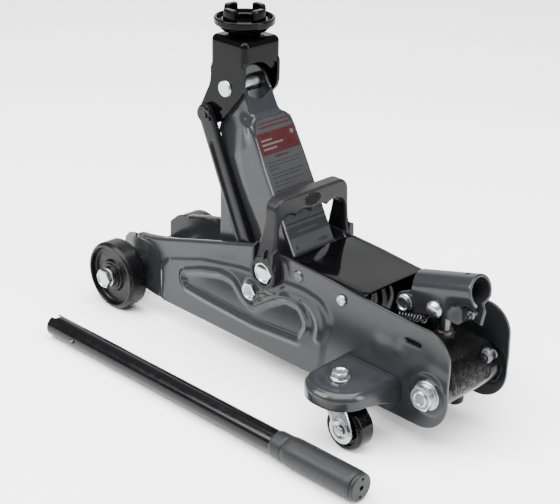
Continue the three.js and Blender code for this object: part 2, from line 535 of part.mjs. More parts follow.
// ---------------------------------------------------------------- casters
const FORK_INNER = 10.6;
const FORK_OUTER = 13;
const FORK_TOP = 54.6;
for (const [side, s] of SIDES) {
  const caster = new THREE.Group();
  caster.position.set(CASTER_X, s * CASTER_Y, 0);
  const at = [CASTER_TRAIL, 0, CASTER_R];
  const arms = prism('y', [[-12, FORK_TOP, 3], [19, FORK_TOP, 5], [CASTER_TRAIL + 9, CASTER_R + 2, 7],
    [CASTER_TRAIL + 5, CASTER_R - 8, 6], [CASTER_TRAIL - 8, CASTER_R - 6, 7], [-12, 43, 4]], -FORK_OUTER, FORK_OUTER);
  const fork = cut(
    joined(arms, turned('z', [[0, FORK_TOP - 4.6], [16, FORK_TOP - 4.6], [16, FORK_TOP + 1], [12, BRACKET_TOP - 3 - GAP],
      [0, BRACKET_TOP - 3 - GAP]], [0, 0, 0], 24)),
    block(-40, 40, -FORK_INNER, FORK_INNER, 0, FORK_TOP - 3),
    rod('z', 5.4, 40, 70, [0, 0, 0], 16),
    rod('y', 3.3, -20, 20, at, 12),
  );
  caster.add(part(`caster_fork_${side}`, fork, zinc));
  caster.add(part(`caster_bolt_${side}`, joined(
    rod('z', 5, FORK_TOP - 5.5, BRACKET_TOP + 1, [0, 0, 0], 16),
    rod('z', 7.6, FORK_TOP - 6.5, FORK_TOP - 3 - GAP, [0, 0, 0], 16),
    rod('z', 9, BRACKET_TOP + GAP, BRACKET_TOP + 2, [0, 0, 0], 20),
    hex('z', 8, BRACKET_TOP + 1.5, BRACKET_TOP + 8, [0, 0, 0]),
  ), zinc));
  caster.add(part(`caster_rivet_${side}`, joined(
    rod('y', 3, -FORK_OUTER - 1, FORK_OUTER + 1, at, 12),
    rod('y', 5, -FORK_OUTER - 2, -FORK_OUTER - GAP, at, 12),
    rod('y', 5, FORK_OUTER + GAP, FORK_OUTER + 2, at, 12),
  ), zinc));
  const wheel = part(`caster_wheel_${side}`, turned('y', [
    [3.4, -10], [8, -10], [8.6, -7], [16, -7], [17, -9.85], [CASTER_R, -9.4], [CASTER_R, 9.4],
    [17, 9.85], [16, 7], [8.6, 7], [8, 10], [3.4, 10],
  ], [0, 0, 0], 22), blackPlastic);
  wheel.position.set(...at);
  caster.add(wheel);
  jack.add(caster);
}

// ---------------------------------------------------------------- carry handle
const GRIP_Z = [165, 186];
const GRIP_X = [214.5, 230];
const DISC = [PLATE_Y + GAP, PIVOT_FACE + 0.5];
const legSection = (s) => [
  [s * DISC[0], 168], [s * 50, 168], [s * 51, 145, 4], [s * DISC[1], 124, 4], [s * DISC[1], 103], [s * DISC[0], 103],
];
const bow = prism('x', [
  [-50, 155], [-50, GRIP_Z[1], 12], [50, GRIP_Z[1], 12], [50, 155], [DISC[0], 155], [40, GRIP_Z[0] + 4, 8],
  [24, GRIP_Z[0] + 2, 6], [12, GRIP_Z[0], 6], [0, GRIP_Z[0] + 2.5, 6], [-12, GRIP_Z[0], 6],
  [-24, GRIP_Z[0] + 2, 6], [-40, GRIP_Z[0] + 4, 8], [-DISC[0], 155],
], ...GRIP_X);
const legs = SIDES.map(([, s]) => joined(
  prism('x', legSection(s), 208.5, 229),
  rod('y', 17, s * DISC[0], s * DISC[1], [PX, 0, PZ], 24),
));
jack.add(part('carry_handle', cut(
  joined(bow, ...legs),
  rod('y', 8.4, -70, 70, [PX, 0, PZ]),
  rod('y', 12.2, PIVOT_FACE - 7, 70, [PX, 0, PZ]),
  rod('y', 12.2, -70, -(PIVOT_FACE - 7), [PX, 0, PZ]),
), greyPlastic));

// ---------------------------------------------------------------- loose pump handle on the floor
// Handle frame: x along the tube; the thicker grip lifts that end a little.
const pumpHandle = new THREE.Group();
const COLLAR = HANDLE_L - GRIP_L;
pumpHandle.position.set(HANDLE_START[0], HANDLE_START[1], HANDLE_R + 0.1);
pumpHandle.rotation.set(0, -Math.atan((GRIP_R - HANDLE_R) / COLLAR), rad(HANDLE_TURN), 'ZYX');
pumpHandle.add(part('handle_tube', cut(
  rod('x', HANDLE_R, 0, COLLAR + 60, [0, 0, 0], 20),
  rod('x', HANDLE_R - 1.6, -1, COLLAR + 50, [0, 0, 0], 20),
  block(-1, 9, -4, 4, 0, 20),
  rod('y', 2.6, -20, 0, [BUTTON, 0, 0], 12),
), blackPaint));
pumpHandle.add(part('handle_grip', cut(
  turned('x', [[0, COLLAR], [HANDLE_R + 1.2, COLLAR], [GRIP_R, COLLAR + 3], [GRIP_R, COLLAR + 12], [GRIP_R - 0.8, COLLAR + 14],
    [GRIP_R - 0.8, COLLAR + 19], [GRIP_R, COLLAR + 21], [GRIP_R, HANDLE_L - 6], [GRIP_R - 1.4, HANDLE_L - 4],
    [0, HANDLE_L - 4]], [0, 0, 0], 20),
  rod('x', HANDLE_R + 0.2, COLLAR - 1, COLLAR + 60.3, [0, 0, 0], 20),
  rod('x', 5.4, HANDLE_L - 24, HANDLE_L, [0, 0, 0], 16),
), greyPlastic));
pumpHandle.add(part('grip_end_cap', cut(
  joined(
    turned('x', [[0, HANDLE_L - 4 + GAP], [GRIP_R - 1.4, HANDLE_L - 4 + GAP], [GRIP_R - 2, HANDLE_L - 1], [0, HANDLE_L]],
      [0, 0, 0], 20),
    rod('x', 5, HANDLE_L - 20, HANDLE_L - 2, [0, 0, 0], 16),
  ),
  rod('x', 2.4, HANDLE_L - 8, HANDLE_L + 1, [0, 0, 0], 12),
), greyPlastic));
pumpHandle.add(part('spring_button', joined(
  rod('y', 2.3, -HANDLE_R - 2.2, -HANDLE_R + 3, [BUTTON, 0, 0], 12),
  rod('y', 3.8, -HANDLE_R + 2.8, -HANDLE_R + 4.2, [BUTTON, 0, 0], 12),
), steel));
jack.add(pumpHandle);

// ---------------------------------------------------------------- part frame
// Origin at the middle of the whole part's base.
jack.updateMatrixWorld(true);
const box = new THREE.Box3().setFromObject(jack, true);
const middle = box.getCenter(new THREE.Vector3());
jack.position.set(-middle.x, -middle.y, -box.min.z);
const floorJack = new THREE.Group();
floorJack.add(jack);

export default floorJack;
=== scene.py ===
"""Looks of the hydraulic floor jack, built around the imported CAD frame.

Shapes are written in the jack's own millimetres (x from the front axle towards the pump end,
y from the mid-plane, z from the floor) and turned into the row frame's metres by piece().
"""

import math
import random

import bmesh
import bpy
import numpy as np
from mathutils import Matrix, Vector, noise
from mathutils.geometry import delaunay_2d_cdt


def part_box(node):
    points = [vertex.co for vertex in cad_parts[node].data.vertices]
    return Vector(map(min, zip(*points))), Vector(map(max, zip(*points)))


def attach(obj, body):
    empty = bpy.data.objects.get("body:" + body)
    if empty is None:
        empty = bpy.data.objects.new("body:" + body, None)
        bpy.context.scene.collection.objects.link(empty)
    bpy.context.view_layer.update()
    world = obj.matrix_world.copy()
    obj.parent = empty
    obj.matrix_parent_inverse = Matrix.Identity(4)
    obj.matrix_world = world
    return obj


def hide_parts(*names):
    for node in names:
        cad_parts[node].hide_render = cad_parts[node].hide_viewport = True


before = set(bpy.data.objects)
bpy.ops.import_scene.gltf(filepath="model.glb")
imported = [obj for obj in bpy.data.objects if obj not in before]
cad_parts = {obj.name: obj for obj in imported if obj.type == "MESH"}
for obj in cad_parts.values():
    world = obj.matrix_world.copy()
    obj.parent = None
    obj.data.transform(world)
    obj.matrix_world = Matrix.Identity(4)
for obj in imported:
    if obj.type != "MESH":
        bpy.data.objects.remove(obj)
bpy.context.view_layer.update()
AXLE_LOW, AXLE_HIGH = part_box("front_axle")
ORIGIN = Vector(((AXLE_LOW.x + AXLE_HIGH.x) / 2, (AXLE_LOW.y + AXLE_HIGH.y) / 2, 0))
MM = 0.001
SIDES = (("near", -1), ("far", 1))
QUARTER_TURN = math.pi / 2
random.seed(7)

# ------------------------------------------------------------------ camera and lights
CAMERA_AT = (1084.52, -904.53, 682.25)
CAMERA_AZIMUTH, CAMERA_ELEVATION, CAMERA_ROLL = 44.80, 24.32, 1.13
SENSOR_WIDTH, LENS = 36, 90.19993


def add_camera():
    a, e, r = (math.radians(v) for v in (CAMERA_AZIMUTH, CAMERA_ELEVATION, CAMERA_ROLL))
    back = Vector((math.sin(a) * math.cos(e), -math.cos(a) * math.cos(e), math.sin(e)))
    right = Vector((math.cos(a), math.sin(a), 0))
    up = back.cross(right)
    side = right * math.cos(r) + up * math.sin(r)
    top = up * math.cos(r) - right * math.sin(r)
    camera = bpy.data.objects.new("camera", bpy.data.cameras.new("camera"))
    camera.data.sensor_width = SENSOR_WIDTH
    camera.data.lens = LENS
    camera.data.clip_end = 50
    turn = Matrix((side, top, back)).transposed().to_4x4()
    camera.matrix_world = Matrix.Translation(Vector(CAMERA_AT) * MM + ORIGIN) @ turn
    bpy.context.scene.collection.objects.link(camera)
    bpy.context.scene.camera = camera


def add_light(name, place, target, width, height, power):
    light = bpy.data.objects.new(name, bpy.data.lights.new(name, "AREA"))
    light.data.shape = "RECTANGLE"
    light.data.size, light.data.size_y = width, height
    light.data.energy = power
    light.location = place
    light.rotation_euler = (Vector(target) - Vector(place)).to_track_quat("-Z", "Y").to_euler()
    bpy.context.scene.collection.objects.link(light)


add_camera()


# ------------------------------------------------------------------ materials
class Nodes:
    """Short forms for building one material's node tree."""

    def __init__(self, name):
        self.material = bpy.data.materials.new(name)
        self.material.use_nodes = True
        self.tree = self.material.node_tree
        self.shader = self.tree.nodes["Principled BSDF"]
        self.place = self.tree.nodes.new("ShaderNodeTexCoord").outputs["Object"]

    def node(self, kind, inputs, **settings):
        made = self.tree.nodes.new("ShaderNode" + kind)
        for key, value in settings.items():
            setattr(made, key, value)
        for key, value in inputs.items():
            if isinstance(value, bpy.types.NodeSocket):
                self.tree.links.new(value, made.inputs[key])
            else:
                made.inputs[key].default_value = value
        return made

    def noise(self, scale, detail, rough):
        inputs = {"Vector": self.place, "Scale": scale, "Detail": detail, "Roughness": rough}
        return self.node("TexNoise", inputs).outputs[0]

    def ramp(self, value, low, high, out_low=0.0, out_high=1.0):
        return self.node("MapRange", {
            "Value": value, "From Min": low, "From Max": high, "To Min": out_low, "To Max": out_high,
        }).outputs[0]

    def blend(self, factor, one, two):
        mix = self.node("Mix", {"Factor": factor}, data_type="RGBA")
        for socket, color in ((mix.inputs[6], one), (mix.inputs[7], two)):
            if isinstance(color, bpy.types.NodeSocket):
                self.tree.links.new(color, socket)
            else:
                socket.default_value = (*color, 1)
        return mix.outputs[2]

    def times(self, one, two):
        return self.node("Math", {0: one, 1: two}, operation="MULTIPLY").outputs[0]

    def link(self, value, socket):
        self.tree.links.new(value, self.shader.inputs[socket])

    def bump(self, height, strength, distance, before=None):
        inputs = {"Height": height, "Strength": strength, "Distance": distance}
        if before is not None:
            inputs["Normal"] = before
        return self.node("Bump", inputs).outputs[0]


def shade(color, factor):
    return tuple(min(1.0, c * factor) for c in color)


def finish(name, color, rough, metallic=0.0, specular=0.5, tone=0.10, tone_scale=45, swing=0.06,
           peel=0.12, peel_scale=500, relief=0.0002, pits=0.0, pits_scale=620, dust=0.0):
    """Procedural finish: blotchy tone, uneven gloss and surface texture, with optional pits and dust."""
    n = Nodes(name)
    n.shader.inputs["Metallic"].default_value = metallic
    n.shader.inputs["Specular IOR Level"].default_value = specular
    blotch = n.ramp(n.noise(tone_scale, 4.0, 0.55), 0.3, 0.7)
    base = n.blend(blotch, shade(color, 1 - tone), shade(color, 1 + tone))
    gloss = n.ramp(n.noise(130, 3.0, 0.6), 0.3, 0.7, max(0.03, rough - swing), rough + swing)
    if dust:
        specks = n.ramp(n.noise(1400, 2.0, 0.5), 0.69, 0.74)
        base = n.blend(n.times(specks, dust), base, (0.5, 0.5, 0.5))
    n.link(base, "Base Color")
    n.link(gloss, "Roughness")
    normal = n.bump(n.noise(peel_scale, 3.0, 0.5), peel, relief)
    if pits:
        normal = n.bump(n.noise(pits_scale, 6.0, 0.65), pits, relief * 3, normal)
    n.link(normal, "Normal")
    return n.material


# The paints are darker than they look: the view transform and the strong lights lift them.
GREY = finish("grey_powder_paint", (0.0125, 0.0135, 0.0152), 0.19, specular=0.24, tone=0.04, swing=0.02,
              peel=0.02, peel_scale=420)
DARK_GREY = finish("dark_grey_paint", (0.0040, 0.0041, 0.0046), 0.24, specular=0.14, tone=0.08)
BLACK = finish("black_gloss_paint", (0.0011, 0.0011, 0.0013), 0.07, specular=0.08, tone=0.15, swing=0.03,
               peel=0.08, peel_scale=230)
CAST = finish("black_casting", (0.0014, 0.0014, 0.0016), 0.15, specular=0.13, tone=0.3, peel=0.9,
              peel_scale=240, relief=0.0022, pits=1.0)
ZINC = finish("bright_zinc", (0.42, 0.43, 0.44), 0.30, metallic=1.0, tone_scale=160, swing=0.08,
              peel=0.10, peel_scale=900)
STEEL = finish("ground_steel", (0.36, 0.37, 0.385), 0.24, metallic=1.0, tone_scale=90, swing=0.08,
               peel=0.2, peel_scale=1500, relief=0.00006)
OILED = finish("oiled_dark_steel", (0.07, 0.07, 0.075), 0.30, metallic=0.9, tone=0.2, tone_scale=150,
               peel=0.2)
PLASTIC = finish("dark_grey_plastic", (0.0058, 0.0058, 0.0064), 0.36, specular=0.15, tone=0.08, tone_scale=30,
                 swing=0.05, peel=0.35, peel_scale=2600, relief=0.00005, dust=0.10)
GRIP = finish("grey_grip_plastic", (0.0085, 0.0088, 0.0094), 0.42, specular=0.18, tone=0.06, tone_scale=30,
              swing=0.05, peel=0.35, peel_scale=2400, relief=0.00005, dust=0.12)
WHEEL = finish("front_wheel_plastic", (0.0026, 0.0026, 0.0029), 0.28, specular=0.14, tone=0.12, swing=0.07,
               peel=0.18, peel_scale=900, dust=0.10)
CASTER_PLASTIC = finish("caster_wheel_plastic", (0.0012, 0.0012, 0.0014), 0.08, specular=0.12, tone=0.15,
                        swing=0.03, peel=0.08)
TUBE = finish("black_tube_paint", (0.0018, 0.0018, 0.0021), 0.18, specular=0.16, tone=0.15, peel_scale=350)
LABEL, LABEL_RED, LABEL_PALE, LABEL_DARK = (
    finish(name, color, rough, specular=specular, tone=tone, swing=0.05, peel=0.03)
    for name, color, rough, specular, tone in (
        ("label_grey", (0.0135, 0.0142, 0.0156), 0.40, 0.22, 0.05),
        ("label_red", (0.0200, 0.0011, 0.0020), 0.36, 0.18, 0.08),
        ("label_pale_print", (0.045, 0.034, 0.035), 0.45, 0.2, 0.10),
        ("label_dark_print", (0.0045, 0.0045, 0.0054), 0.40, 0.18, 0.10)))
SPRING = finish("black_spring_steel", (0.030, 0.030, 0.032), 0.20, metallic=0.6, tone=0.15, peel=0.1)
SATIN_BLACK = finish("satin_black_steel", (0.006, 0.006, 0.007), 0.35, metallic=0.3, tone=0.15, peel=0.2)
SEAL = finish("red_brown_seal", (0.010, 0.0045, 0.0040), 0.40, tone=0.15, peel=0.1)


# ------------------------------------------------------------------ outlines
def arc(centre, radius, start, end, count):
    return [(centre[0] + radius * math.cos(math.radians(start + (end - start) * i / count)),
             centre[1] + radius * math.sin(math.radians(start + (end - start) * i / count)))
            for i in range(count + 1)]


def circle(u, v, r, count):
    return arc((u, v), r, 0, 360 * (count - 1) / count, count - 1)


def box(u0, u1, v0, v1, r=0.5):
    """The four corners of a rectangle, for fillet() to round."""
    return [(u0, v0, r), (u1, v0, r), (u1, v1, r), (u0, v1, r)]


def mirrored(half):
    """A closed outline from its half with positive v, which starts and ends on the line v = 0."""
    return half + [(u, -v) for u, v in reversed(half[1:-1])]


def fillet(corners, closed=True, fine=1.2):
    """Points along a line of corners (u, v) or (u, v, radius), the ones with a radius rounded."""
    points = []
    count = len(corners)
    for i, corner in enumerate(corners):
        u, v, r = (*corner, 0)[:3]
        here = Vector((u, v))
        back = (Vector(corners[i - 1][:2]) - here).normalized()
        ahead = (Vector(corners[(i + 1) % count][:2]) - here).normalized()
        half = math.acos(max(-1, min(1, back.dot(ahead)))) / 2
        nearly_straight = half > 1.55
        if r <= 0 or nearly_straight or (not closed and i in (0, count - 1)):
            points.append((u, v))
            continue
        reach = r / math.tan(half)
        one, two = here + back * reach, here + ahead * reach
        centre = here + (back + ahead).normalized() * (r / math.sin(half))
        start = math.atan2(one.y - centre.y, one.x - centre.x)
        turn = math.atan2(two.y - centre.y, two.x - centre.x) - start
        turn = (turn + math.pi) % (2 * math.pi) - math.pi
        steps = min(18, max(3, math.ceil(abs(turn) * r / fine)))
        points += arc(centre, r, math.degrees(start), math.degrees(start + turn), steps)
    return points


def resample(loop, step):
    out = []
    for a, b in zip(loop, loop[1:] + loop[:1]):
        parts = max(1, math.ceil(math.dist(a, b) / step))
        out += [(a[0] + (b[0] - a[0]) * k / parts, a[1] + (b[1] - a[1]) * k / parts) for k in range(parts)]
    return out


def area_of(loop):
    return sum(a[0] * b[1] - b[0] * a[1] for a, b in zip(loop, loop[1:] + loop[:1])) / 2


def tidy_loop(loop):
    """The loop without points that lie on the point before them."""
    kept = []
    for p in loop:
        if not kept or math.dist(p, kept[-1]) > 1e-3:
            kept.append(p)
    if math.dist(kept[0], kept[-1]) < 1e-3:
        kept.pop()
    return kept


def inset(loop, amount):
    """The loop moved to its left by amount, corner by corner."""
    out = []
    count = len(loop)
    for i in range(count):
        before, here, after = (Vector(loop[(i + k) % count]) for k in (-1, 0, 1))
        one = (here - before).normalized()
        two = (after - here).normalized()
        left = Vector((-(one.y + two.y), one.x + two.x))
        if left.length < 1e-6:
            left = Vector((-one.y, one.x))
        left.normalize()
        share = max(0.35, Vector((-one.y, one.x)).dot(left))
        out.append(tuple(here + left * (amount / share)))
    return out


def inside(points, loop):
    """For each of the points (n by 2), whether it is inside the loop."""
    xs, ys = points[:, 0], points[:, 1]
    hit = np.zeros(len(points), bool)
    for (ax, ay), (bx, by) in zip(loop, loop[1:] + loop[:1]):
        if ay != by:
            crosses = (ay > ys) != (by > ys)
            hit ^= crosses & (xs < (bx - ax) * (ys - ay) / (by - ay) + ax)
    return hit


def within(points, rims):
    """For each of the points, whether it is inside the first rim and outside the others."""
    keep = inside(points, rims[0])
    for rim in rims[1:]:
        keep &= ~inside(points, rim)
    return keep


def distance(points, line, closed=False):
    """Distance of each of the points (n by 2) from a line of points."""
    best = np.full(len(points), 1e9)
    for a, b in zip(line, line[1:] + (line[:1] if closed else [])):
        a, b = np.array(a, float), np.array(b, float)
        d = b - a
        t = np.clip(((points - a) @ d) / (d @ d + 1e-12), 0, 1)
        best = np.minimum(best, np.hypot(*(points - (a + t[:, None] * d)).T))
    return best


def depth_in(points, loop):
    """How deep each of the points lies inside the loop, below zero outside it."""
    return distance(points, loop, True) * np.where(inside(points, loop), 1, -1)


def smooth(t):
    t = np.clip(t, 0, 1)
    return t * t * (3 - 2 * t)


# ------------------------------------------------------------------ mesh builders
# Each gives a body: its vertices, an n by 3 array in millimetres, and its faces.
ORDER = {"x": [2, 0, 1], "y": [0, 2, 1], "z": [0, 1, 2]}


def stood(vertices, axis, at=(0, 0, 0)):
    """Vertices drawn with their third coordinate along the axis, moved to at."""
    return np.array(vertices, float)[:, ORDER[axis]] + np.array(at, float)


def bridge(count, length):
    """Quads between rings of count points, length rings numbered one after the other."""
    pairs = [(i * count, k, (k + 1) % count) for i in range(length - 1) for k in range(count)]
    return [[start + k, start + j, start + count + j, start + count + k] for start, k, j in pairs]


def sheet(outline, holes, place, thick, step, edge, turns=2):
    """A sheet cut to an outline with holes, its rims rounded by edge, put in space by place(uv, depth).

    place takes an n by 2 array and depth from 0 (outer face) to thick, and gives n by 3 millimetres.
    With a step, the faces get inner points that far apart, so that they can be bent or embossed.
    """
    loops = []
    for k, loop in enumerate([outline, *holes]):
        loop = tidy_loop(loop)
        if step:
            loop = tidy_loop(resample(loop, step))
        if (area_of(loop) > 0) != (k == 0):
            loop.reverse()
        loops.append(loop)
    rims = [inset(loop, edge) for loop in loops]
    points, edges = [], []
    for rim in rims:
        first = len(points)
        points += rim
        edges += [(first + i, first + (i + 1) % len(rim)) for i in range(len(rim))]
    if step:
        low, high = np.min(rims[0], 0), np.max(rims[0], 0)
        across = step * 0.866
        grid = np.array([(u + (step / 2 if row % 2 else 0), low[1] + row * across)
                         for row in range(int((high[1] - low[1]) / across) + 1)
                         for u in np.arange(low[0], high[0], step)])
        keep = within(grid, rims)
        for rim in rims:
            keep &= distance(grid, rim, True) > step * 0.55
        points += [tuple(p) for p in grid[keep]]
    flat, _, triangles, *_ = delaunay_2d_cdt([Vector(p) for p in points], edges, [], 1, 1e-7)
    flat = np.array([tuple(p) for p in flat])
    middles = np.array([flat[list(t)].mean(0) for t in triangles])
    triangles = [list(t) for t, keep in zip(triangles, within(middles, rims)) if keep]
    count = len(flat)
    vertices = [place(flat, 0.0), place(flat, thick)]
    faces = triangles + [[i + count for i in reversed(t)] for t in triangles]
    base = 2 * count
    index = {tuple(np.round(p, 5)): i for i, p in enumerate(flat)}
    angles = [QUARTER_TURN * k / turns for k in range(1, turns + 1)]
    levels = [(edge * (1 - math.sin(t)), edge * (1 - math.cos(t))) for t in angles]
    levels += [(shift, thick - depth) for shift, depth in reversed(levels)]
    for loop, rim in zip(loops, rims):
        ring = [index[tuple(np.round(p, 5))] for p in rim]
        n = len(loop)
        chain = [ring]
        for shift, depth in levels:
            vertices.append(place(np.array(inset(loop, shift) if shift > 1e-6 else loop), depth))
            chain.append([base + i for i in range(n)])
            base += n
        chain.append([i + count for i in ring])
        for a, b in zip(chain, chain[1:]):
            faces += [[a[i], b[i], b[(i + 1) % n], a[(i + 1) % n]] for i in range(n)]
    return np.vstack(vertices), faces


def slab(axis, outline, low, high, edge, turns=2, holes=()):
    """Solid with a flat outline, from low to high along an axis, its rims rounded by edge."""
    def place(uv, depth):
        return stood(np.column_stack([uv, np.full(len(uv), high - depth)]), axis)
    return sheet(outline, holes, place, high - low, None, edge, turns)


def folded(s, half, bend, depth):
    """A strip folded down at half from its middle line, for points s from that line: how far out and
    how far down from the outer face they end, and how far past the bend they are."""
    start = half - bend
    turn = np.clip((s - start) / bend, 0, QUARTER_TURN)
    past = np.clip(s - start - bend * QUARTER_TURN, 0, None)
    out = np.where(s < start, s, start + (bend - depth) * np.sin(turn))
    return out, bend - (bend - depth) * np.cos(turn) + past, past


def lathe(profile, axis, at=(0, 0, 0), count=48):
    """Turned body: closed profile of (radius, place along the axis) or (..., fillet)."""
    points = tidy_loop(fillet(profile, fine=0.6))
    vertices, rings = [], []
    for r, t in points:
        if r < 1e-6:
            rings.append([len(vertices)])
            vertices.append((0, 0, t))
            continue
        rings.append(list(range(len(vertices), len(vertices) + count)))
        vertices += [(r * math.cos(2 * math.pi * k / count), r * math.sin(2 * math.pi * k / count), t)
                     for k in range(count)]
    faces = []
    for a, b in zip(rings, rings[1:] + rings[:1]):
        if len(a) == 1 and len(b) == 1:
            continue
        for k in range(count):
            j = (k + 1) % count
            if len(a) == 1:
                faces.append([a[0], b[j], b[k]])
            elif len(b) == 1:
                faces.append([a[k], a[j], b[0]])
            else:
                faces.append([a[k], a[j], b[j], b[k]])
    return stood(vertices, axis, at), faces


def bar(axis, r, one, two, at=(0, 0, 0), chamfer=0.4, count=32):
    low, high = sorted((one, two))
    return lathe([(0, low), (r - chamfer, low), (r, low + chamfer), (r, high - chamfer), (r - chamfer, high),
                  (0, high)], axis, at, count)


def hex_head(axis, at, flats, height, way=1, dish=0.5, washer=0.0):
    """Hexagon head or nut with a chamfered crown and a shallow dish, standing from at along way * axis."""
    count = 72
    half = flats / 2
    crown = half * 0.97
    slope = math.tan(math.radians(30))

    def side(k):
        return half / math.cos(math.radians((360 * k / count) % 60 - 30))

    def steady(value):
        return lambda k: value

    rings = [(side, steady(1.4 if washer else 0)), (side, lambda k: height - (side(k) - crown) * slope),
             (steady(crown), steady(height)), (steady(crown - 1), steady(height)),
             (steady(crown - 2), steady(height - dish))]
    if washer:
        rings = [(steady(washer), steady(0)), (steady(washer), steady(1.1)),
                 (steady(washer - 0.7), steady(1.7)), *rings]
    vertices = [(radius(k) * math.cos(2 * math.pi * k / count), radius(k) * math.sin(2 * math.pi * k / count),
                 level(k) * way) for radius, level in rings for k in range(count)]
    last = (len(rings) - 1) * count
    faces = bridge(count, len(rings)) + [list(range(count)), list(range(last, last + count))[::-1]]
    return stood(vertices, axis, at), faces


def sweep(path, radii, count):
    """Round wire along a path of 3-D points, with a radius for each point."""
    path = [Vector(p) for p in path]
    n = len(path)
    tangents = [(path[min(i + 1, n - 1)] - path[max(i - 1, 0)]).normalized() for i in range(n)]
    normal = tangents[0].orthogonal().normalized()
    vertices = []
    for p, t, radius in zip(path, tangents, radii):
        normal = (normal - t * normal.dot(t)).normalized()
        other = t.cross(normal)
        for k in range(count):
            angle = 2 * math.pi * k / count
            vertices.append(tuple(p + (normal * math.cos(angle) + other * math.sin(angle)) * radius))
    last = (n - 1) * count
    return np.array(vertices), bridge(count, n) + [list(range(count))[::-1], list(range(last, last + count))]


def join(*bodies):
    vertices, faces, base = [], [], 0
    for v, f in bodies:
        vertices.append(np.asarray(v, float))
        faces += [[i + base for i in face] for face in f]
        base += len(v)
    return np.vstack(vertices), faces


def mirror(body, side):
    """The body for the near side (-1) or the far side (1), drawn with y pointing outwards."""
    return np.asarray(body[0], float) * (1, side, 1), body[1]


def mesh_of(body, gap):
    """A mesh with the body's faces turned outwards and its points closer than gap made one."""
    mesh = bpy.data.meshes.new("body")
    mesh.from_pydata([tuple(v) for v in body[0]], [], [list(f) for f in body[1]])
    mesh.validate()
    work = bmesh.new()
    work.from_mesh(mesh)
    bmesh.ops.remove_doubles(work, verts=work.verts, dist=gap)
    bmesh.ops.dissolve_degenerate(work, edges=work.edges, dist=gap / 20)
    bmesh.ops.recalc_face_normals(work, faces=work.faces)
    work.to_mesh(mesh)
    work.free()
    return mesh


def carve(body, *others):
    """The body with the others cut away from it."""
    objects = []
    for other in (body, *others):
        objects.append(bpy.data.objects.new("work", mesh_of(other, 1e-4)))
        bpy.context.scene.collection.objects.link(objects[-1])
    for other in objects[1:]:
        modifier = objects[0].modifiers.new("carve", "BOOLEAN")
        modifier.object = other
        modifier.operation = "DIFFERENCE"
        modifier.solver = "EXACT"
    evaluated = objects[0].evaluated_get(bpy.context.evaluated_depsgraph_get())
    result = evaluated.to_mesh()
    vertices = np.array([tuple(v.co) for v in result.vertices])
    faces = [list(p.vertices) for p in result.polygons]
    evaluated.to_mesh_clear()
    for obj in objects:
        mesh = obj.data
        bpy.data.objects.remove(obj)
        bpy.data.meshes.remove(mesh)
    return vertices, faces


def piece(name, body, material, ride, slot, replaces=(), sharp=38, weighted=True):
    """Makes the object from a body, gives it its finish and ties it to its CAD body."""
    vertices, faces = body
    mesh = mesh_of((np.asarray(vertices, float) * MM + np.array(ORIGIN), faces), 2e-6)
    mesh.name = name
    obj = bpy.data.objects.new(name, mesh)
    bpy.context.scene.collection.objects.link(obj)
    mesh.polygons.foreach_set("use_smooth", [True] * len(mesh.polygons))
    mesh.set_sharp_from_angle(angle=math.radians(sharp))
    mesh.materials.append(material)
    if weighted:
        modifier = obj.modifiers.new("normals", "WEIGHTED_NORMAL")
        modifier.keep_sharp = True
    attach(obj, ride)
    if replaces:
        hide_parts(*replaces)
    return obj


def pair(node, form, body, material, ride, slot, **options):
    """The same piece on the near and the far side, from a body drawn with y pointing outwards."""
    for name, side in SIDES:
        piece(f"{node}_{name}_{form}", mirror(body, side), material, ride.format(name), slot,
              [f"{node}_{name}"], **options)


def thicken(obj, wall, edge, angle, even=False):
    """Turns a skin into pressed sheet, wall thick inwards, with its rims rounded by edge."""
    shell = obj.modifiers.new("sheet", "SOLIDIFY")
    shell.thickness = wall * MM
    shell.offset = -1
    shell.use_even_offset = even
    rim = obj.modifiers.new("rim", "BEVEL")
    rim.width = edge * MM
    rim.segments = 2
    rim.limit_method = "ANGLE"
    rim.angle_limit = math.radians(angle)


# ------------------------------------------------------------------ side plates
PIVOT = (217.5, 111.5)
PIVOT_AT = (PIVOT[0], 0, PIVOT[1])
LINK_LOW = (193.7, 81.8)
TUBE_AT = (418.2, 58.5)
PLATE_Y, PLATE_T = 44.5, 3.0
TOP_LINE = [(6, 80.5), (54, 91), (123, 110.5), (197, 131)]
FLANGE_START, FLANGE_END = 9, 196
FLANGE_BEND = 3.0
BEND_LENGTH = FLANGE_BEND * QUARTER_TURN
BEAD = fillet([
    (92, 51, 9), (91, 67, 10), (122, 78.7, 60), (150, 85.6, 30), (168, 84.5, 14), (183, 70, 14),
    (196, 64, 10), (218, 79.2, 40), (240, 91, 22), (262, 90, 16), (273, 72, 14), (262, 50.5, 10),
    (198, 45.8, 60), (130, 48.3, 60),
])
SECOND_BEAD = fillet([(204, 82.8), (221, 87.8, 40), (246, 96.5, 40), (272, 97, 20), (287, 80, 20), (284, 62)],
                     False)
PANEL = fillet([
    (56, 4), (57, 62, 10), (70, 74, 12), (122, 90.6, 80), (175, 100.5, 60), (235, 106, 60), (262, 108, 60),
    (287, 104, 20), (301, 88, 16), (292, 60, 30), (284, 4),
])
REAR_RIDGE = [(362, 84), (440, 74)]
NOSE_CREASE = [(44, 18), (51, 30), (56, 42), (56, 62), (51, 77.5), (38, 84)]
# How high each stands out of the plate, and how wide its slope is.
PANEL_RISE, PANEL_SLOPE = 2.0, 7
BEAD_RISE, BEAD_SLOPE, BEAD_DISH, DISH_SLOPE = 2.5, 6.4, 0.6, 9
SECOND_RISE, SECOND_SLOPE = 1.2, 6.0
RIDGE_RISE, RIDGE_SLOPE = 0.8, 16
# Raised discs round the bolts: centre, radius, height.
BOSSES = ((PIVOT, 23, 1.4), (LINK_LOW, 10.5, 1.4), (TUBE_AT, 20, 1.3))


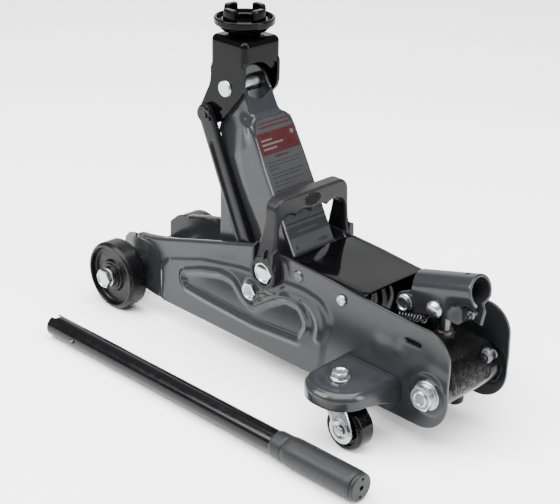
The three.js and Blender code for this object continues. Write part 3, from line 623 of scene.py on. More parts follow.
def emboss(p):
    """How far the pressing stands out of the flat plate at points p (x, z)."""
    x, z = p[:, 0], p[:, 1]
    out = PANEL_RISE * smooth(depth_in(p, PANEL) / PANEL_SLOPE + 0.5)
    gap = distance(p, BEAD, True)
    out += BEAD_RISE * (1 - smooth(gap / BEAD_SLOPE))
    out -= np.where(inside(p, BEAD), BEAD_DISH * smooth(gap / DISH_SLOPE), 0)
    out += SECOND_RISE * (1 - smooth(distance(p, SECOND_BEAD) / SECOND_SLOPE))
    for (cx, cz), radius, height in BOSSES:
        out += height * (1 - smooth((np.hypot(x - cx, z - cz) - radius) / 3 + 0.5))
    crease_x = np.interp(z, [c[1] for c in NOSE_CREASE], [c[0] for c in NOSE_CREASE])
    nose = np.clip(crease_x - x, 0, None)
    out -= 0.125 * nose + 0.0003 * nose ** 2
    out += RIDGE_RISE * (1 - smooth(distance(p, REAR_RIDGE) / RIDGE_SLOPE))
    return out


def plate_place(side):
    top_x, top_z = zip(*TOP_LINE)

    def place(p, depth):
        x, z = p[:, 0], p[:, 1]
        in_flange = (x > FLANGE_START) & (x < FLANGE_END)
        top = np.interp(x, top_x, top_z)
        past = np.where(in_flange, z - (top - FLANGE_BEND), -1)
        skin = PLATE_Y + emboss(np.column_stack([x, np.minimum(z, top)]))
        turn = np.clip(past / FLANGE_BEND, 0, QUARTER_TURN)
        reach = FLANGE_BEND - depth
        y = np.where(past > 0, skin - FLANGE_BEND + reach * np.cos(turn), skin - depth)
        level = np.where(past > 0, top - FLANGE_BEND + reach * np.sin(turn), z)
        y = y - np.where(past > BEND_LENGTH, past - BEND_LENGTH, 0)
        return np.column_stack([x, side * y, level])
    return place


def build_plates():
    # The flange is drawn unfolded, above the top line; its rim lies flange_width past the bend.
    wide, narrow = (BEND_LENGTH - FLANGE_BEND + flange_width for flange_width in (6.5, 3.2))
    flange = [(FLANGE_END - 1, 130.7 + narrow, 3), (76, 97.2 + narrow), (54, 91 + wide),
              (FLANGE_START + 1, 81.4 + wide, 3)]
    outline = fillet([
        (-18, 22.5, 9), (439.3, 22.5, 31), (439.3, 119.3, 27), (388, 120.6, 60), (327, 124.3, 200),
        (284, 128.4, 200), (245, 130.7, 100), (201, 131.2), (FLANGE_END + 1, 131.2),
        (FLANGE_END + 0.6, 126.5), (FLANGE_END - 1, 126.3), *flange, (FLANGE_START + 1, 77.2),
        (FLANGE_START - 0.8, 77.0), (FLANGE_START - 1.2, 80.6), (3, 79.6, 3), (-8, 76, 6), (-18, 67, 5),
    ], fine=1.5)
    rear_slot = fillet(box(388, 407, 99.4, 104.6, 2.4))
    for name, side in SIDES:
        body = sheet(outline, [rear_slot], plate_place(side), PLATE_T, 1.7, 0.7)
        piece(f"side_plate_{name}_skin", body, GREY, "frame", "grey_paint", [f"side_plate_{name}"])


build_plates()


# ------------------------------------------------------------------ lift arm
ARM_ANGLE = math.radians(118.66)
ARM_LENGTH = 178.5
ARM_T = 3.5
ALONG = np.array([math.cos(ARM_ANGLE), 0, math.sin(ARM_ANGLE)])
ACROSS = np.array([0, 1, 0])
OUTWARD = np.array([math.sin(ARM_ANGLE), 0, -math.cos(ARM_ANGLE)])
BRACKET_PIN = (PIVOT[0] + ARM_LENGTH * ALONG[0], PIVOT[1] + ARM_LENGTH * ALONG[2])
LINK_HIGH = (BRACKET_PIN[0] - 23.8, BRACKET_PIN[1] - 29.7)
YOKE = (-19.5, -48.2)
YOKE_R, LOBE_R = 14, 16.5
CHEEK_LEAN = 0.11


def on_arm(a, y, b, start=PIVOT):
    """Arm coordinates (a along the arm, y, b out of the web) to the jack's millimetres."""
    a, y, b = (np.asarray(v, float)[..., None] for v in (a, y, b))
    return np.array([start[0], 0, start[1]]) + a * ALONG + b * OUTWARD + y * ACROSS


def arm_half(a):
    return np.interp(a, [-60, 88, 97, 127, 135.6, 143.4, 150, 260],
                     [29.5, 29.5, 29.4, 28.5, 27.6, 19.4, 18.8, 18.8])


def arm_web(a):
    return 21 - 3.8 * smooth((a - 139) / 8)


def arm_bend(a):
    return 0.4 + 1.7 * smooth((a + 5) / 6) * (1 - smooth((a - 160) / 8))


def arm_place(p, depth):
    a, u = p[:, 0], p[:, 1]
    half, web = arm_half(a), arm_web(a)
    out, down, past = folded(np.abs(u), half, arm_bend(a), depth)
    # The cheeks lean in below a soft crease that runs along them.
    crease = np.interp(a, [-30, 20, 42, 69, 99, 127, 150], [-20, -12, -10, -12, -9.4, 0.3, 7])
    below = np.clip(crease - (web - arm_bend(a) - past), 0, 20)
    lean = CHEEK_LEAN * below * smooth((165 - a) / 25) * smooth((a - 5) / 40)
    # Away from the web the cheeks narrow to the neck over a longer run.
    gradual = np.interp(a, [88, 116, 152, 160, 260], [29.5, 28.6, 20.4, 19.2, 18.8]) - half
    lean = lean - gradual * smooth(past / 14)
    return on_arm(a, np.sign(u) * (out - np.where(past > 0, lean, 0)), web - down)


def arm_outline():
    """The channel unfolded: (a, u) with u across the web, round the bend and down the cheek."""
    def unfolded(a, b):
        half, web, bend = (float(f(np.array(a))) for f in (arm_half, arm_web, arm_bend))
        return a, half - bend + bend * QUARTER_TURN + (web - bend - b)
    lobe = arc((ARM_LENGTH, 0), LOBE_R, 88, -95, 20)
    yoke = arc(YOKE, YOKE_R, 262, 100, 16)
    cheek = fillet([(167, 16.9), *lobe, (161, -17.2), (156, -24, 4), (134, -33.5, 30), (115.5, -39.5, 60),
                    (40, -80, 12), (-8, -68, 12), *yoke, (-24, -30, 8), (-23, 8, 10), (-9, 16.2)], False)
    web_end = [(159.0, 0), (160.0, 5), (162.5, 10.5), (165, 14.4)]
    return mirrored(web_end + [unfolded(a, b) for a, b in cheek] + [(-3, 24), (-2, 0)])


piece("lift_arm_pressing", sheet(arm_outline(), [], arm_place, ARM_T, 2.2, 0.8), GREY, "lift_arm",
      "grey_paint", ["lift_arm"])


# ------------------------------------------------------------------ link rods
LINK_T, LINK_R = 6.0, 9.5
# The rods lean in: their outer faces stand LINK_FOOT from the mid-plane low down, and LINK_LEAN less on top.
LINK_FOOT, LINK_LEAN, LEAN_START, LEAN_RUN = 37.4, 6.1, 50, 122


def build_links():
    outline = arc((0, 0), LINK_R, 90, 270, 20) + arc((ARM_LENGTH, 0), LINK_R, -90, 90, 20)
    groove = arc((20, 0), 3.6, 90, 270, 12) + arc((147, 0), 3.6, -90, 90, 12)
    for name, side in SIDES:
        def place(p, depth):
            a, c = p[:, 0], p[:, 1]
            outer = LINK_FOOT - LINK_LEAN * np.clip((a - LEAN_START) / LEAN_RUN, 0, 1)
            sunk = 1.7 * smooth(depth_in(p, groove) / 1.6 + 0.5)
            crown = 0.5 * smooth((np.abs(c) - 6.2) / 3)
            eye = 0.5 * (1 - smooth((np.hypot(a - ARM_LENGTH, c) - 7) / 1.5))
            relief = (eye - sunk - crown) * (1 - depth / LINK_T)
            return on_arm(a, side * (outer - depth + relief), c, LINK_LOW)
        piece(f"link_rod_{name}_forged", sheet(outline, [], place, LINK_T, 1.5, 0.8), DARK_GREY, "link_rods",
              "dark_grey_paint", [f"link_rod_{name}"])


build_links()


# ------------------------------------------------------------------ saddle bracket and saddle
# The drawn cap: its ends in x, half width, corner radius, wall, and the levels of its top and lower rims.
CAP_FRONT, CAP_REAR, CAP_HALF, CAP_R, CAP_T = 109.2, 158.8, 24.4, 6.0, 3.5
CAP_TOP, FRONT_WALL, REAR_WALL = 318.5, 291.0, 297.5
# The cheeks' rims below the walls, as (z, x) from the lowest point up.
FRONT_RIM = [(226.6, 104.5), (228, 101), (232, 96.6), (238, 94.6), (244, 96.6), (266, 108.2), (274, 110.9),
             (291, 110.9)]
REAR_RIM = [(226.6, 110.5), (229, 118), (232.5, 124.5), (240, 131.2), (266, 154.5), (274, 157.1),
            (297.5, 157.1)]
CORNER_STEPS, SIDE_STEPS = 8, 16


def bracket_ring(level, inset_by):
    """One level of the cap's outer face: a rounded rectangle, or below the walls the two cheeks."""
    r = CAP_R
    corners = [(CAP_REAR - r, -CAP_HALF + r), (CAP_REAR - r, CAP_HALF - r), (CAP_FRONT + r, CAP_HALF - r),
               (CAP_FRONT + r, -CAP_HALF + r)]
    points = [point for quarter, corner in enumerate(corners)
              for point in arc(corner, r - inset_by, 90 * quarter - 90, 90 * quarter, CORNER_STEPS)]
    ring = []
    for i, (one, two) in enumerate(zip(points, points[1:] + points[:1])):
        steps = SIDE_STEPS if i % (CORNER_STEPS + 1) == CORNER_STEPS else 1
        ring += [[a + (b - a) * k / steps for a, b in zip(one, two)] for k in range(steps)]
    x, y = np.array(ring).T
    # Below the walls the cheeks run on flat, out to their own rims.
    front, rear = CAP_FRONT + r * 0.29, CAP_REAR - r * 0.29
    share = np.clip((x - front) / (rear - front), 0, 1)
    below_front, below_rear = level < FRONT_WALL - 0.1, level < REAR_WALL - 0.1
    if below_front:
        front = np.interp(level, *zip(*FRONT_RIM))
    if below_rear:
        rear = np.interp(level, *zip(*REAR_RIM))
        on_cheek = np.abs(y) > CAP_HALF - r * 0.3
        low_side = np.where(share < 0.5, below_front, below_rear)
        x = np.where(on_cheek, front + share * (rear - front), x)
        y = np.where(on_cheek & low_side, np.sign(y) * CAP_HALF, y)
    return np.column_stack([x, y, np.full(len(x), level)])


def build_bracket():
    levels = [(CAP_TOP - CAP_R * (1 - math.cos(t)), CAP_R * (1 - math.sin(t)))
              for t in np.linspace(0, QUARTER_TURN, 7)]
    levels += [(z, 0) for z in (310, 306, 302, REAR_WALL, 294, FRONT_WALL, 287, 282, 277, 272, 269, 266,
                                261, 256, 251, 247, 244, 241, 238, 235, 232, 230, 228, 226.6)]
    rings = [bracket_ring(z, inset_by) for z, inset_by in levels]
    count = len(rings[0])
    vertices = np.vstack(rings)
    faces = [tuple(range(count))[::-1]]
    for quad in bridge(count, len(rings)):
        x, y, z = np.mean(vertices[quad], axis=0)
        on_cheek = np.all(np.abs(np.abs(vertices[quad, 1]) - CAP_HALF) < 1.3) and abs(y) > CAP_HALF - 1.2
        if on_cheek or z > (REAR_WALL if x > (CAP_FRONT + CAP_REAR) / 2 else FRONT_WALL):
            faces.append(quad)
    obj = piece("saddle_bracket_pressing", (vertices, faces), BLACK, "saddle_bracket", "black_paint",
                ["saddle_bracket"])
    thicken(obj, CAP_T, 0.7, 55)
    obj.modifiers.move(0, 2)


build_bracket()

SADDLE_X, RIM = 132.5, 29.7


def build_saddle():
    at = (SADDLE_X, 0, 0)
    parts = [lathe([
        (0, 303), (8.8, 303, 0.8), (8.8, 318.8), (15.5, 318.8, 1), (16.5, 321.5, 3), (22, 323, 5),
        (RIM, 329.5, 1.6), (RIM, 335.5, 1.4), (27.2, 335.8, 1), (25.2, 330.8, 2.5), (17.0, 328.6, 1.5),
        (0, 328.4),
    ], "z", at, 72)]
    lug = fillet([(-8.6, 326), (8.6, 326), (7.4, 345, 2.2), (-7.4, 345, 2.2)], fine=0.7)
    for turn in (0, 90, 180, 270):
        def place(p, depth):
            angle = math.radians(turn) + p[:, 0] / 20.5
            radius = 22.9 - depth - 0.05 * np.clip(p[:, 1] - 328, 0, 20)
            return np.column_stack([SADDLE_X + radius * np.cos(angle), radius * np.sin(angle), p[:, 1]])
        parts.append(sheet(lug, [], place, 5.6, 2.2, 0.9))
    parts.append(lathe([(16.8, 327), (22.9, 327), (22.9, 333.5, 1), (17.4, 333.5, 1)], "z", at, 72))
    piece("saddle_casting", join(*parts), BLACK, "saddle", "black_paint", ["saddle"], sharp=45)


build_saddle()

# ------------------------------------------------------------------ front wheels and axle
WHEEL_R = 37
AXLE_AT = (0, 0, WHEEL_R)
CROSS_HALF = 41.2


def build_front_wheels():
    profile = [
        (7.4, 47.4), (15, 47.4, 0.8), (15.5, 52, 1.5), (28.5, 52, 2), (30, 47.4, 1), (34.4, 47.4, 2),
        (WHEEL_R, 49.6, 2.4), (WHEEL_R, 67.4, 2.6), (34.6, 70.4, 2), (32.2, 70.4, 1), (31.0, 65.2, 1.6),
        (29.6, 64.2, 1), (17.5, 64.6, 1.5), (16.2, 67.6, 0.8), (14.2, 67.8, 0.5), (13.8, 69.6, 0.5),
        (11.4, 69.8, 0.4), (11.0, 70.9, 0.3), (7.4, 70.9),
    ]
    pair("front_wheel", "moulded", lathe(profile, "y", AXLE_AT, 96), WHEEL, "front_wheel_{}",
         "dark_grey_paint", sharp=50)
    bolt = join(lathe([(3, 71.7), (10.6, 71.7, 0.5), (10.6, 74.6, 0.6), (3, 74.6)], "y", AXLE_AT, 40),
                hex_head("y", (0, 74.4, WHEEL_R), 18.4, 5.8, dish=1.0))
    pair("axle_bolt", "hex", bolt, ZINC, "frame", "zinc")
    piece("front_axle_bar", bar("y", 7, -71.3, 71.3, AXLE_AT), STEEL, "frame", "steel", ["front_axle"])
    cross = fillet(box(-CROSS_HALF, CROSS_HALF, 27, 52, 3))
    piece("front_cross_plate_sheet", slab("x", cross, -14, -11, 0.5), GREY, "frame", "grey_paint",
          ["front_cross_plate"])


build_front_wheels()

# ------------------------------------------------------------------ frame fasteners
SCREW_X, SCREW_Z = 312, 113.5


def build_fasteners():
    px, pz = PIVOT
    pivot_bolt = join(hex_head("y", (px, -49.0, pz), 20.1, 6.5, -1, dish=0.9),
                      bar("y", 8, -49.3, 48.4, PIVOT_AT, 1))
    piece("main_pivot_bolt_hex", pivot_bolt, ZINC, "frame", "zinc", ["main_pivot_bolt"])
    pivot_nut = join(hex_head("y", (px, 48.9, pz), 20.1, 6.4, dish=0.3),
                     lathe([(0, 48.6), (6.6, 48.6), (6.6, 56.4, 0.8), (0, 56.4)], "y", PIVOT_AT, 32))
    piece("main_pivot_nut_hex", pivot_nut, ZINC, "frame", "zinc", ["main_pivot_nut"])
    lx, lz = LINK_LOW
    link_at = (lx, 0, lz)
    link_bolt = join(hex_head("y", (lx, 44.8, lz), 15.9, 6.6, dish=0.8, washer=8.8),
                     bar("y", 5, 30.4, 45, link_at), bar("y", 8, 37.8, 41.1, link_at),
                     bar("y", 7, 30.2, 31.0, link_at, 0.2))
    tx, tz = TUBE_AT
    tube_at = (tx, 0, tz)
    rear_nut = join(
        lathe([(6, 44.8), (13.8, 44.8, 0.4), (13.8, 47, 0.5), (6, 47)], "y", tube_at, 48),
        lathe([(6, 47), (11.8, 47.1, 0.4), (11.6, 48.8, 0.5), (6, 48.8)], "y", tube_at, 48),
        hex_head("y", (tx, 48.6, tz), 21.7, 6.9, dish=0.4),
        lathe([(0, 41.6), (7.2, 41.6), (7.2, 56.4, 0.6), (6.2, 57, 0.5), (5.2, 56.3, 0.4), (0, 56.2)], "y",
              tube_at, 36))
    screw_at = (SCREW_X, 0, SCREW_Z)
    dome = lathe([(0, 45.0), (5.4, 45.0, 0.3), (4.9, 47.0, 1.2), (2.8, 48.1, 1.5), (0, 48.3)], "y", screw_at,
                 32)
    slots = [slab("y", fillet(box(SCREW_X - a, SCREW_X + a, SCREW_Z - b, SCREW_Z + b, 0)), 47.0, 50, 0.05, 1)
             for a, b in ((2.4, 0.55), (0.55, 2.4))]
    screw = join(carve(dome, *slots), bar("y", 3, 36.6, 45.1, screw_at, 0.3, 20))
    plug = lathe([(0, 41.9), (6.2, 41.9), (6.2, 44.9, 0.5), (5.0, 46.2, 0.8), (0, 46.5)], "y",
                 (255.6, 0, 117.4), 32)
    pair("link_bolt", "hex", link_bolt, ZINC, "frame", "zinc")
    pair("rear_nut", "hex", rear_nut, ZINC, "frame", "zinc")
    pair("cover_screw", "cross", screw, ZINC, "frame", "zinc")
    for name, side in SIDES:
        piece(f"plate_plug_{name}", mirror(plug, side), OILED, "frame", "grey_paint")


build_fasteners()

# ------------------------------------------------------------------ cover plate
COVER_HALF, COVER_BEND, COVER_T, COVER_SKIRT = CROSS_HALF, 2.6, 2.0, 26
COVER_FRONT, COVER_REAR = 242.5, 338.0
COVER_TOP, COVER_FALL = 131, 4


def cover_place(p, depth):
    x, u = p[:, 0], p[:, 1]
    s = np.abs(u)
    out, down, _ = folded(s, COVER_HALF, COVER_BEND, depth)
    top = COVER_TOP - COVER_FALL * (x - COVER_FRONT) / (COVER_REAR - COVER_FRONT)
    sag = 0.35 * np.sin(x / 17) * np.cos(u / 24) * (1 - smooth((s - 30) / 8)) - 0.25
    z = top - down + np.where(s < COVER_HALF - COVER_BEND, sag, 0)
    return np.column_stack([x, np.sign(u) * out, z])


def build_cover():
    reach = COVER_HALF - COVER_BEND + COVER_BEND * QUARTER_TURN + COVER_SKIRT
    outline = fillet(box(COVER_FRONT, COVER_REAR, -reach, reach, 3))
    piece("cover_plate_pressed", sheet(outline, [], cover_place, COVER_T, 4, 0.6), BLACK, "frame",
          "black_paint", ["cover_plate"])


build_cover()

# ------------------------------------------------------------------ caster brackets and casters
CASTER = (351.3, 86.8)
CASTER_AT = (*CASTER, 0)
CASTER_R = 21.6
CASTER_TRAIL = 14.3
BRACKET_TOP = 63.8
BRACKET_WALL, BRACKET_END, BRACKET_CORNER = 44.9, 116.4, 29.0
BRACKET_ROOT, BRACKET_HALF = 36.2, 32.7
BRACKET_BEND = 8.0
CROWN_STEPS, BEND_STEPS, SKIRT_STEPS = 8, 6, 6


def bracket_heights(y):
    """Top and hem of the caster bracket's skirt at distance y from the mid-plane."""
    return 62.6 + 1.2 * smooth((y - 45) / 40), np.interp(y, [45, 66, 88, 120], [36.5, 44, 48, 47.5])


def bracket_rim(pulled_in):
    """The bracket from above, from the wall round its end and back to the wall."""
    centre, turn_y = CASTER[0], BRACKET_END - BRACKET_CORNER
    spine = [(centre - BRACKET_ROOT + (BRACKET_ROOT - BRACKET_HALF) * k / 7 + pulled_in,
              BRACKET_WALL + (turn_y - BRACKET_WALL) * k / 7) for k in range(7)]
    corner = (centre - BRACKET_HALF + BRACKET_CORNER, turn_y)
    left = spine + arc(corner, BRACKET_CORNER - pulled_in, 180, 90, 14)
    return left + [(2 * centre - x, y) for x, y in reversed(left)]


def build_bracket_skin():
    """Rings of the pressing from the middle of its crown, over the bend and down to the hem."""
    centre = CASTER[0]
    loops = []
    for k in range(BEND_STEPS + 1):
        angle = QUARTER_TURN * k / BEND_STEPS
        drop = BRACKET_BEND * (1 - math.cos(angle))
        loops.append([(x, y, bracket_heights(y)[0] - drop)
                      for x, y in bracket_rim(BRACKET_BEND * (1 - math.sin(angle)))])
    for k in range(1, SKIRT_STEPS + 1):
        share = k / SKIRT_STEPS
        heights = [bracket_heights(y) for _, y in bracket_rim(0)]
        loops.append([(x, y, (top - BRACKET_BEND) * (1 - share) + hem * share)
                      for (x, y), (top, hem) in zip(bracket_rim(0), heights)])
    crown = [[(centre + (x - centre) * k / CROWN_STEPS, y, z) for x, y, z in loops[0]]
             for k in range(CROWN_STEPS)]
    rings = crown + loops
    count = len(loops[0])

    def dished(x, y, z):
        past_seat = math.hypot(x - centre, y - CASTER[1]) - 13
        return (x, y, z + 0.9 * (float(smooth(1 - past_seat / 7)) - 1)) if z > 58 else (x, y, z)

    faces = [[a * count + k, a * count + k + 1, (a + 1) * count + k + 1, (a + 1) * count + k]
             for a in range(len(rings) - 1) for k in range(count - 1)]
    return [dished(*point) for ring in rings for point in ring], faces


def build_bracket_casters():
    centre = CASTER[0]
    skin = build_bracket_skin()
    flange = slab("y", fillet([(centre - 35.6, 36.4, 2), (centre + 35.6, 36.4, 2), (centre + 35.6, 61.8, 8.5),
                               (centre - 35.6, 61.8, 8.5)]), BRACKET_WALL, BRACKET_WALL + 2.6, 0.5)
    top = BRACKET_TOP - 0.05
    bolt = join(lathe([(4, top), (9, top, 0.4), (9, top + 1.7, 0.5), (4, top + 1.7)], "z", CASTER_AT, 40),
                hex_head("z", (*CASTER, top + 1.5), 13.8, 6.4, dish=1.0),
                bar("z", 5, 49, top + 1, CASTER_AT), bar("z", 7.6, 48, 51.2, CASTER_AT, 0.8))
    for name, side in SIDES:
        obj = piece(f"caster_bracket_{name}_pressing", mirror(skin, side), GREY, "frame", "grey_paint",
                    [f"caster_bracket_{name}"], weighted=False)
        thicken(obj, 2.8, 0.6, 60, even=True)
        piece(f"caster_bracket_{name}_wall", mirror(flange, side), GREY, "frame", "grey_paint")
    pair("caster_bolt", "hex", bolt, ZINC, "frame", "zinc")


build_bracket_casters()

FORK_HALF, FORK_BEND, FORK_TOP, FORK_T, FORK_DISC = 13.2, 2.6, 54.6, 2.4, 13.4


def fork_place(p, depth):
    x, u = p[:, 0], p[:, 1]
    out, down, past = folded(np.abs(u), FORK_HALF, FORK_BEND, depth)
    z = FORK_TOP - down
    gap = np.hypot(x - CASTER_TRAIL, z - CASTER_R)
    ring = 0.9 * (1 - smooth((gap - (FORK_DISC - 3.2)) / 1.6)) - 1.1 * (1 - smooth((gap - 6.8) / 1.2))
    return np.column_stack([CASTER[0] + x, CASTER[1] + np.sign(u) * (out + np.where(past > 4, ring, 0)), z])


def fork_outline():
    """The fork unfolded: its back, its sides and the discs round the wheel's rivet."""
    def unfolded(z):
        return FORK_HALF - FORK_BEND + FORK_BEND * QUARTER_TURN + FORK_TOP - FORK_BEND - z
    side = [(17, 0), (17, unfolded(49)), (18.5, unfolded(44)), (24.5, unfolded(32))]
    low = arc((CASTER_TRAIL, unfolded(CASTER_R)), FORK_DISC, -20, 208, 34)
    back = [(1.2, unfolded(30)), (-6, unfolded(38)), (-12, unfolded(46)), (-13, unfolded(51)), (-13, 0)]
    return mirrored(side + low[1:-1] + back)


def build_casters():
    cone = [(5.4, 50.2), (15.6, 50.2, 0.8), (15.6, 54.4, 1.2), (12.4, 58.6, 2.5), (11.6, 60.4, 0.6),
            (5.4, 60.4)]
    fork = join(sheet(fork_outline(), [circle(0, 0, 5.4, 24)], fork_place, FORK_T, 1.6, 0.5),
                lathe(cone, "z", CASTER_AT, 56))
    at = (CASTER[0] + CASTER_TRAIL, CASTER[1], CASTER_R)
    rivet_end = [(0, 0), (3.0, 0), (3.0, 13.9), (4.9, 14.5, 0.3), (4.6, 16.2, 0.9), (0, 16.2)]
    rivet = join(*(lathe([(r, way * y, *f) for r, y, *f in rivet_end], "y", at, 32) for way in (-1, 1)))
    tread = [(3.6, 9.9), (8, 9.9, 0.5), (8.8, 7.2, 0.6), (15.6, 7.0, 0.8), (16.6, 9.4, 0.6), (19.4, 9.8, 1.0),
             (CASTER_R, 7.4, 2.4)]
    tread = [(r, -y, *f) for r, y, *f in tread] + tread[::-1]
    pair("caster_fork", "pressed", fork, ZINC, "caster_{}", "zinc")
    pair("caster_rivet", "headed", rivet, STEEL, "caster_{}", "zinc")
    pair("caster_wheel", "moulded", lathe(tread, "y", at, 80), CASTER_PLASTIC, "caster_wheel_{}",
         "black_plastic", sharp=50)


build_casters()

# ------------------------------------------------------------------ carry handle
HANDLE_TOP, HANDLE_DEPTH, HANDLE_INNER = 186, 14.0, 44.9


def handle_outer(z):
    return float(np.interp(z, [100, 122, 146, 160, 190], [55.4, 55.4, 51.0, 50.0, 49.6]))


def handle_under(y):
    """The grip's scalloped lower edge."""
    return 163.6 + 4.6 * math.sqrt(abs(math.sin(math.pi * (y + 1.5) / 22)))


def handle_place(p, depth):
    y, z = p[:, 0], p[:, 1]
    rear = np.interp(z, [116, 140, 162, 186], [234.5, 231.0, 230.2, 229.6])
    front = np.interp(z, [116, 140, 162, 186], [203.5, 208.5, 213.5, 214.6])
    return np.column_stack([rear + (front - rear) * depth / HANDLE_DEPTH, y, z])


def build_carry_handle():
    left = [(handle_outer(z), z) for z in np.linspace(116, 171, 12)]
    left += arc((handle_outer(174) - 12, 174), 12, 0, 90, 10)
    crown = [(y, HANDLE_TOP) for y in np.linspace(28, -28, 8)]
    inner = [(-HANDLE_INNER, z) for z in np.linspace(116, 152, 9)] + arc((-31, 155), 13.6, 172, 118, 7)
    scallops = [(y, handle_under(y)) for y in np.linspace(-34, 34, 70) if abs(y) < 33.5]
    outline = (left + crown + [(-y, z) for y, z in reversed(left)]
               + inner + scallops + [(-y, z) for y, z in reversed(inner)])
    parts = [sheet(outline, [], handle_place, HANDLE_DEPTH, 3.2, 2.4, 4)]
    ear = lathe([(8.4, 44.9), (16.6, 44.9, 0.8), (17.1, 46, 0.5), (17.1, 55.0, 0.6), (16.0, 56.0, 0.8),
                 (12.8, 56.0, 0.6), (12.2, 55, 0.4), (12.2, 48.6), (8.4, 48.6)], "y", PIVOT_AT, 72)
    ribs = [slab("x", fillet([(50, z0), (57.4, z0, 0.8), (56.4, z1 - 3, 2.5), (50, z1)]), x0, x1, 0.6, 3)
            for x0, x1, z0, z1 in ((204.6, 207.6, 121, 140), (218.6, 221.0, 126.5, 138),
                                   (229.8, 233.0, 121, 139))]
    for side in (-1, 1):
        parts += [mirror(part, side) for part in (ear, *ribs)]
    piece("carry_handle_moulded", join(*parts), PLASTIC, "carry_handle", "grey_plastic", ["carry_handle"],
          sharp=42)
    dots = [(-9.6 + 2.3 * k + (1.15 if row % 2 else 0), 171.6 + 1.75 * row)
            for row in range(7) for k in range(9)]
    knurls = [lathe([(0, 228.6), (0.85, 229.3), (0.7, 231.0, 0.3), (0, 231.1)], "x", (0, y, z), 8)
              for y, z in dots if (y / 10.5) ** 2 + ((z - 176.9) / 6.6) ** 2 <= 1]
    piece("carry_handle_knurl", join(*knurls), PLASTIC, "carry_handle", "grey_plastic")


build_carry_handle()


# ------------------------------------------------------------------ bracket pins and saddle clip
def retaining_ring(at, r, high):
    """Spring clip on a pin: an open flat ring with a lug at each end."""
    outer = arc((0, 0), r + 3.2, 35, 325, 30)
    lug = arc((r + 3.2, -3.6), 2.2, 200, 420, 8)
    inner = arc((0, 0), r, 322, 38, 30)
    other_lug = arc((r + 3.2, 3.6), 2.2, -60, 160, 8)
    loop = [(at[0] + u, at[1] + v) for u, v in outer + lug + inner + other_lug]
    return slab("y", loop, high - 1.4, high, 0.25)


def build_pins():
    bx, bz = BRACKET_PIN
    pin_end = [(0, 24.0), (7.2, 24.0), (7.2, 24.9), (8.2, 25.2, 0.2), (8.0, 26.6, 0.9), (0, 26.6)]
    pin = join(bar("y", 8.2, -25.0, 25.0, (bx, 0, bz), 0.5, 48),
               *(lathe([(r, way * y, *f) for r, y, *f in pin_end], "y", (bx, 0, bz), 48) for way in (-1, 1)))
    piece("saddle_pin_turned", pin, ZINC, "saddle_bracket", "zinc", ["saddle_pin"])
    lx, lz = LINK_HIGH
    at = (lx, 0, lz)
    link_pin = join(bar("y", 5.3, 19, 33.6, at, 0.5),
                    lathe([(0, 31.4), (5.3, 31.4), (5.3, 33.4, 0.6), (0, 33.6)], "y", at, 32),
                    bar("y", 7, 18.9, 20.5, at, 0.3), retaining_ring(LINK_HIGH, 4.6, 33.2))
    pair("link_pin", "clipped", link_pin, TUBE, "saddle_bracket", "dark_steel")
    clip = arc((SADDLE_X, 0), 13, 20, 340, 40) + arc((SADDLE_X, 0), 9.1, 340, 20, 40)
    piece("saddle_clip_ring", slab("z", clip, 306, 308, 0.3), OILED, "saddle", "dark_steel", ["saddle_clip"])


build_pins()

# ------------------------------------------------------------------ markings on the arm
# Lengths of the lines of small print, in mm; zero is a gap between paragraphs.
TEXT_WIDTHS = (44, 40, 13, 0, 42, 38, 0, 40, 24, 0, 41, 36, 17, 0, 40, 34)
TEXT_LEFT, TEXT_TOP, LINE_PITCH, GAP_PITCH, WORD_GAP = -22.0, 96.4, 3.3, 1.6, 1.1


def text_bars():
    bars = []
    a = TEXT_TOP
    for width in TEXT_WIDTHS:
        start, end = TEXT_LEFT, TEXT_LEFT + width
        while start < end - 2:
            word = min(random.uniform(3.5, 8.0), end - start)
            bars.append(box(start, start + word, a - 0.5, a + 0.5, 0.2))
            start += word + WORD_GAP
        a -= LINE_PITCH if width else GAP_PITCH
    return bars


def build_label():
    """A blank label in the real one's layout: a panel, bars where text is, and a dark band low down."""
    sheet_shape = [(-26.6, 36, 2), (26.6, 36, 2), (26.2, 100, 2), (24.2, 127, 3), (18.5, 139, 3),
                   (-18.5, 139, 3), (-24.2, 127, 3), (-26.2, 100, 2)]
    panel = [(-25.4, 104.6, 0.8), (25.2, 104.6, 0.8), (24.0, 126, 0.8), (-24.0, 126, 0.8)]
    for name, shapes, material, lift in (
        ("label_sheet", [sheet_shape], LABEL, 0.12),
        ("label_panel", [panel], LABEL_RED, 0.2),
        ("label_panel_bars", [box(-21.5, -7, 117.6, 119.4), box(-21.5, 6, 113.2, 115.2),
                              box(-21.5, -4, 108.8, 110.8), box(18.2, 22.6, 118.4, 122.6)], LABEL_PALE, 0.3),
        ("label_title_bar", [box(-18.5, 21.5, 130.2, 131.6), box(-18.5, 21.5, 134.4, 135.4)], LABEL_RED,
         0.22),
        ("label_heading_bar", [box(-10.5, 7.5, 100.2, 102.0)], LABEL_RED, 0.22),
        ("label_text_bars", text_bars(), LABEL_DARK, 0.2),
        ("label_band_sheet", [box(-27.2, 27.2, 6.5, 34, 1.5)], LABEL, 0.12),
        ("label_band", [box(-26.4, 26.4, 20.8, 31.5, 0.6)], LABEL_DARK, 0.2),
        ("label_band_bars", [box(-15, 13, 25.2, 26.8)], LABEL, 0.28),
        ("label_corner_bars", [box(-23, -19, 9.6, 13.4), box(8.5, 11, 9.8, 13), box(12, 20.5, 9.8, 13)],
         LABEL_DARK, 0.2),
    ):
        def place(p, depth):
            return on_arm(p[:, 1], p[:, 0], arm_web(p[:, 1]) + lift - depth)
        bodies = [sheet(fillet(shape), [], place, 0.08, 3.0, 0.01, 1) for shape in shapes]
        piece(name, join(*bodies), material, "lift_arm", None, weighted=False)


build_label()

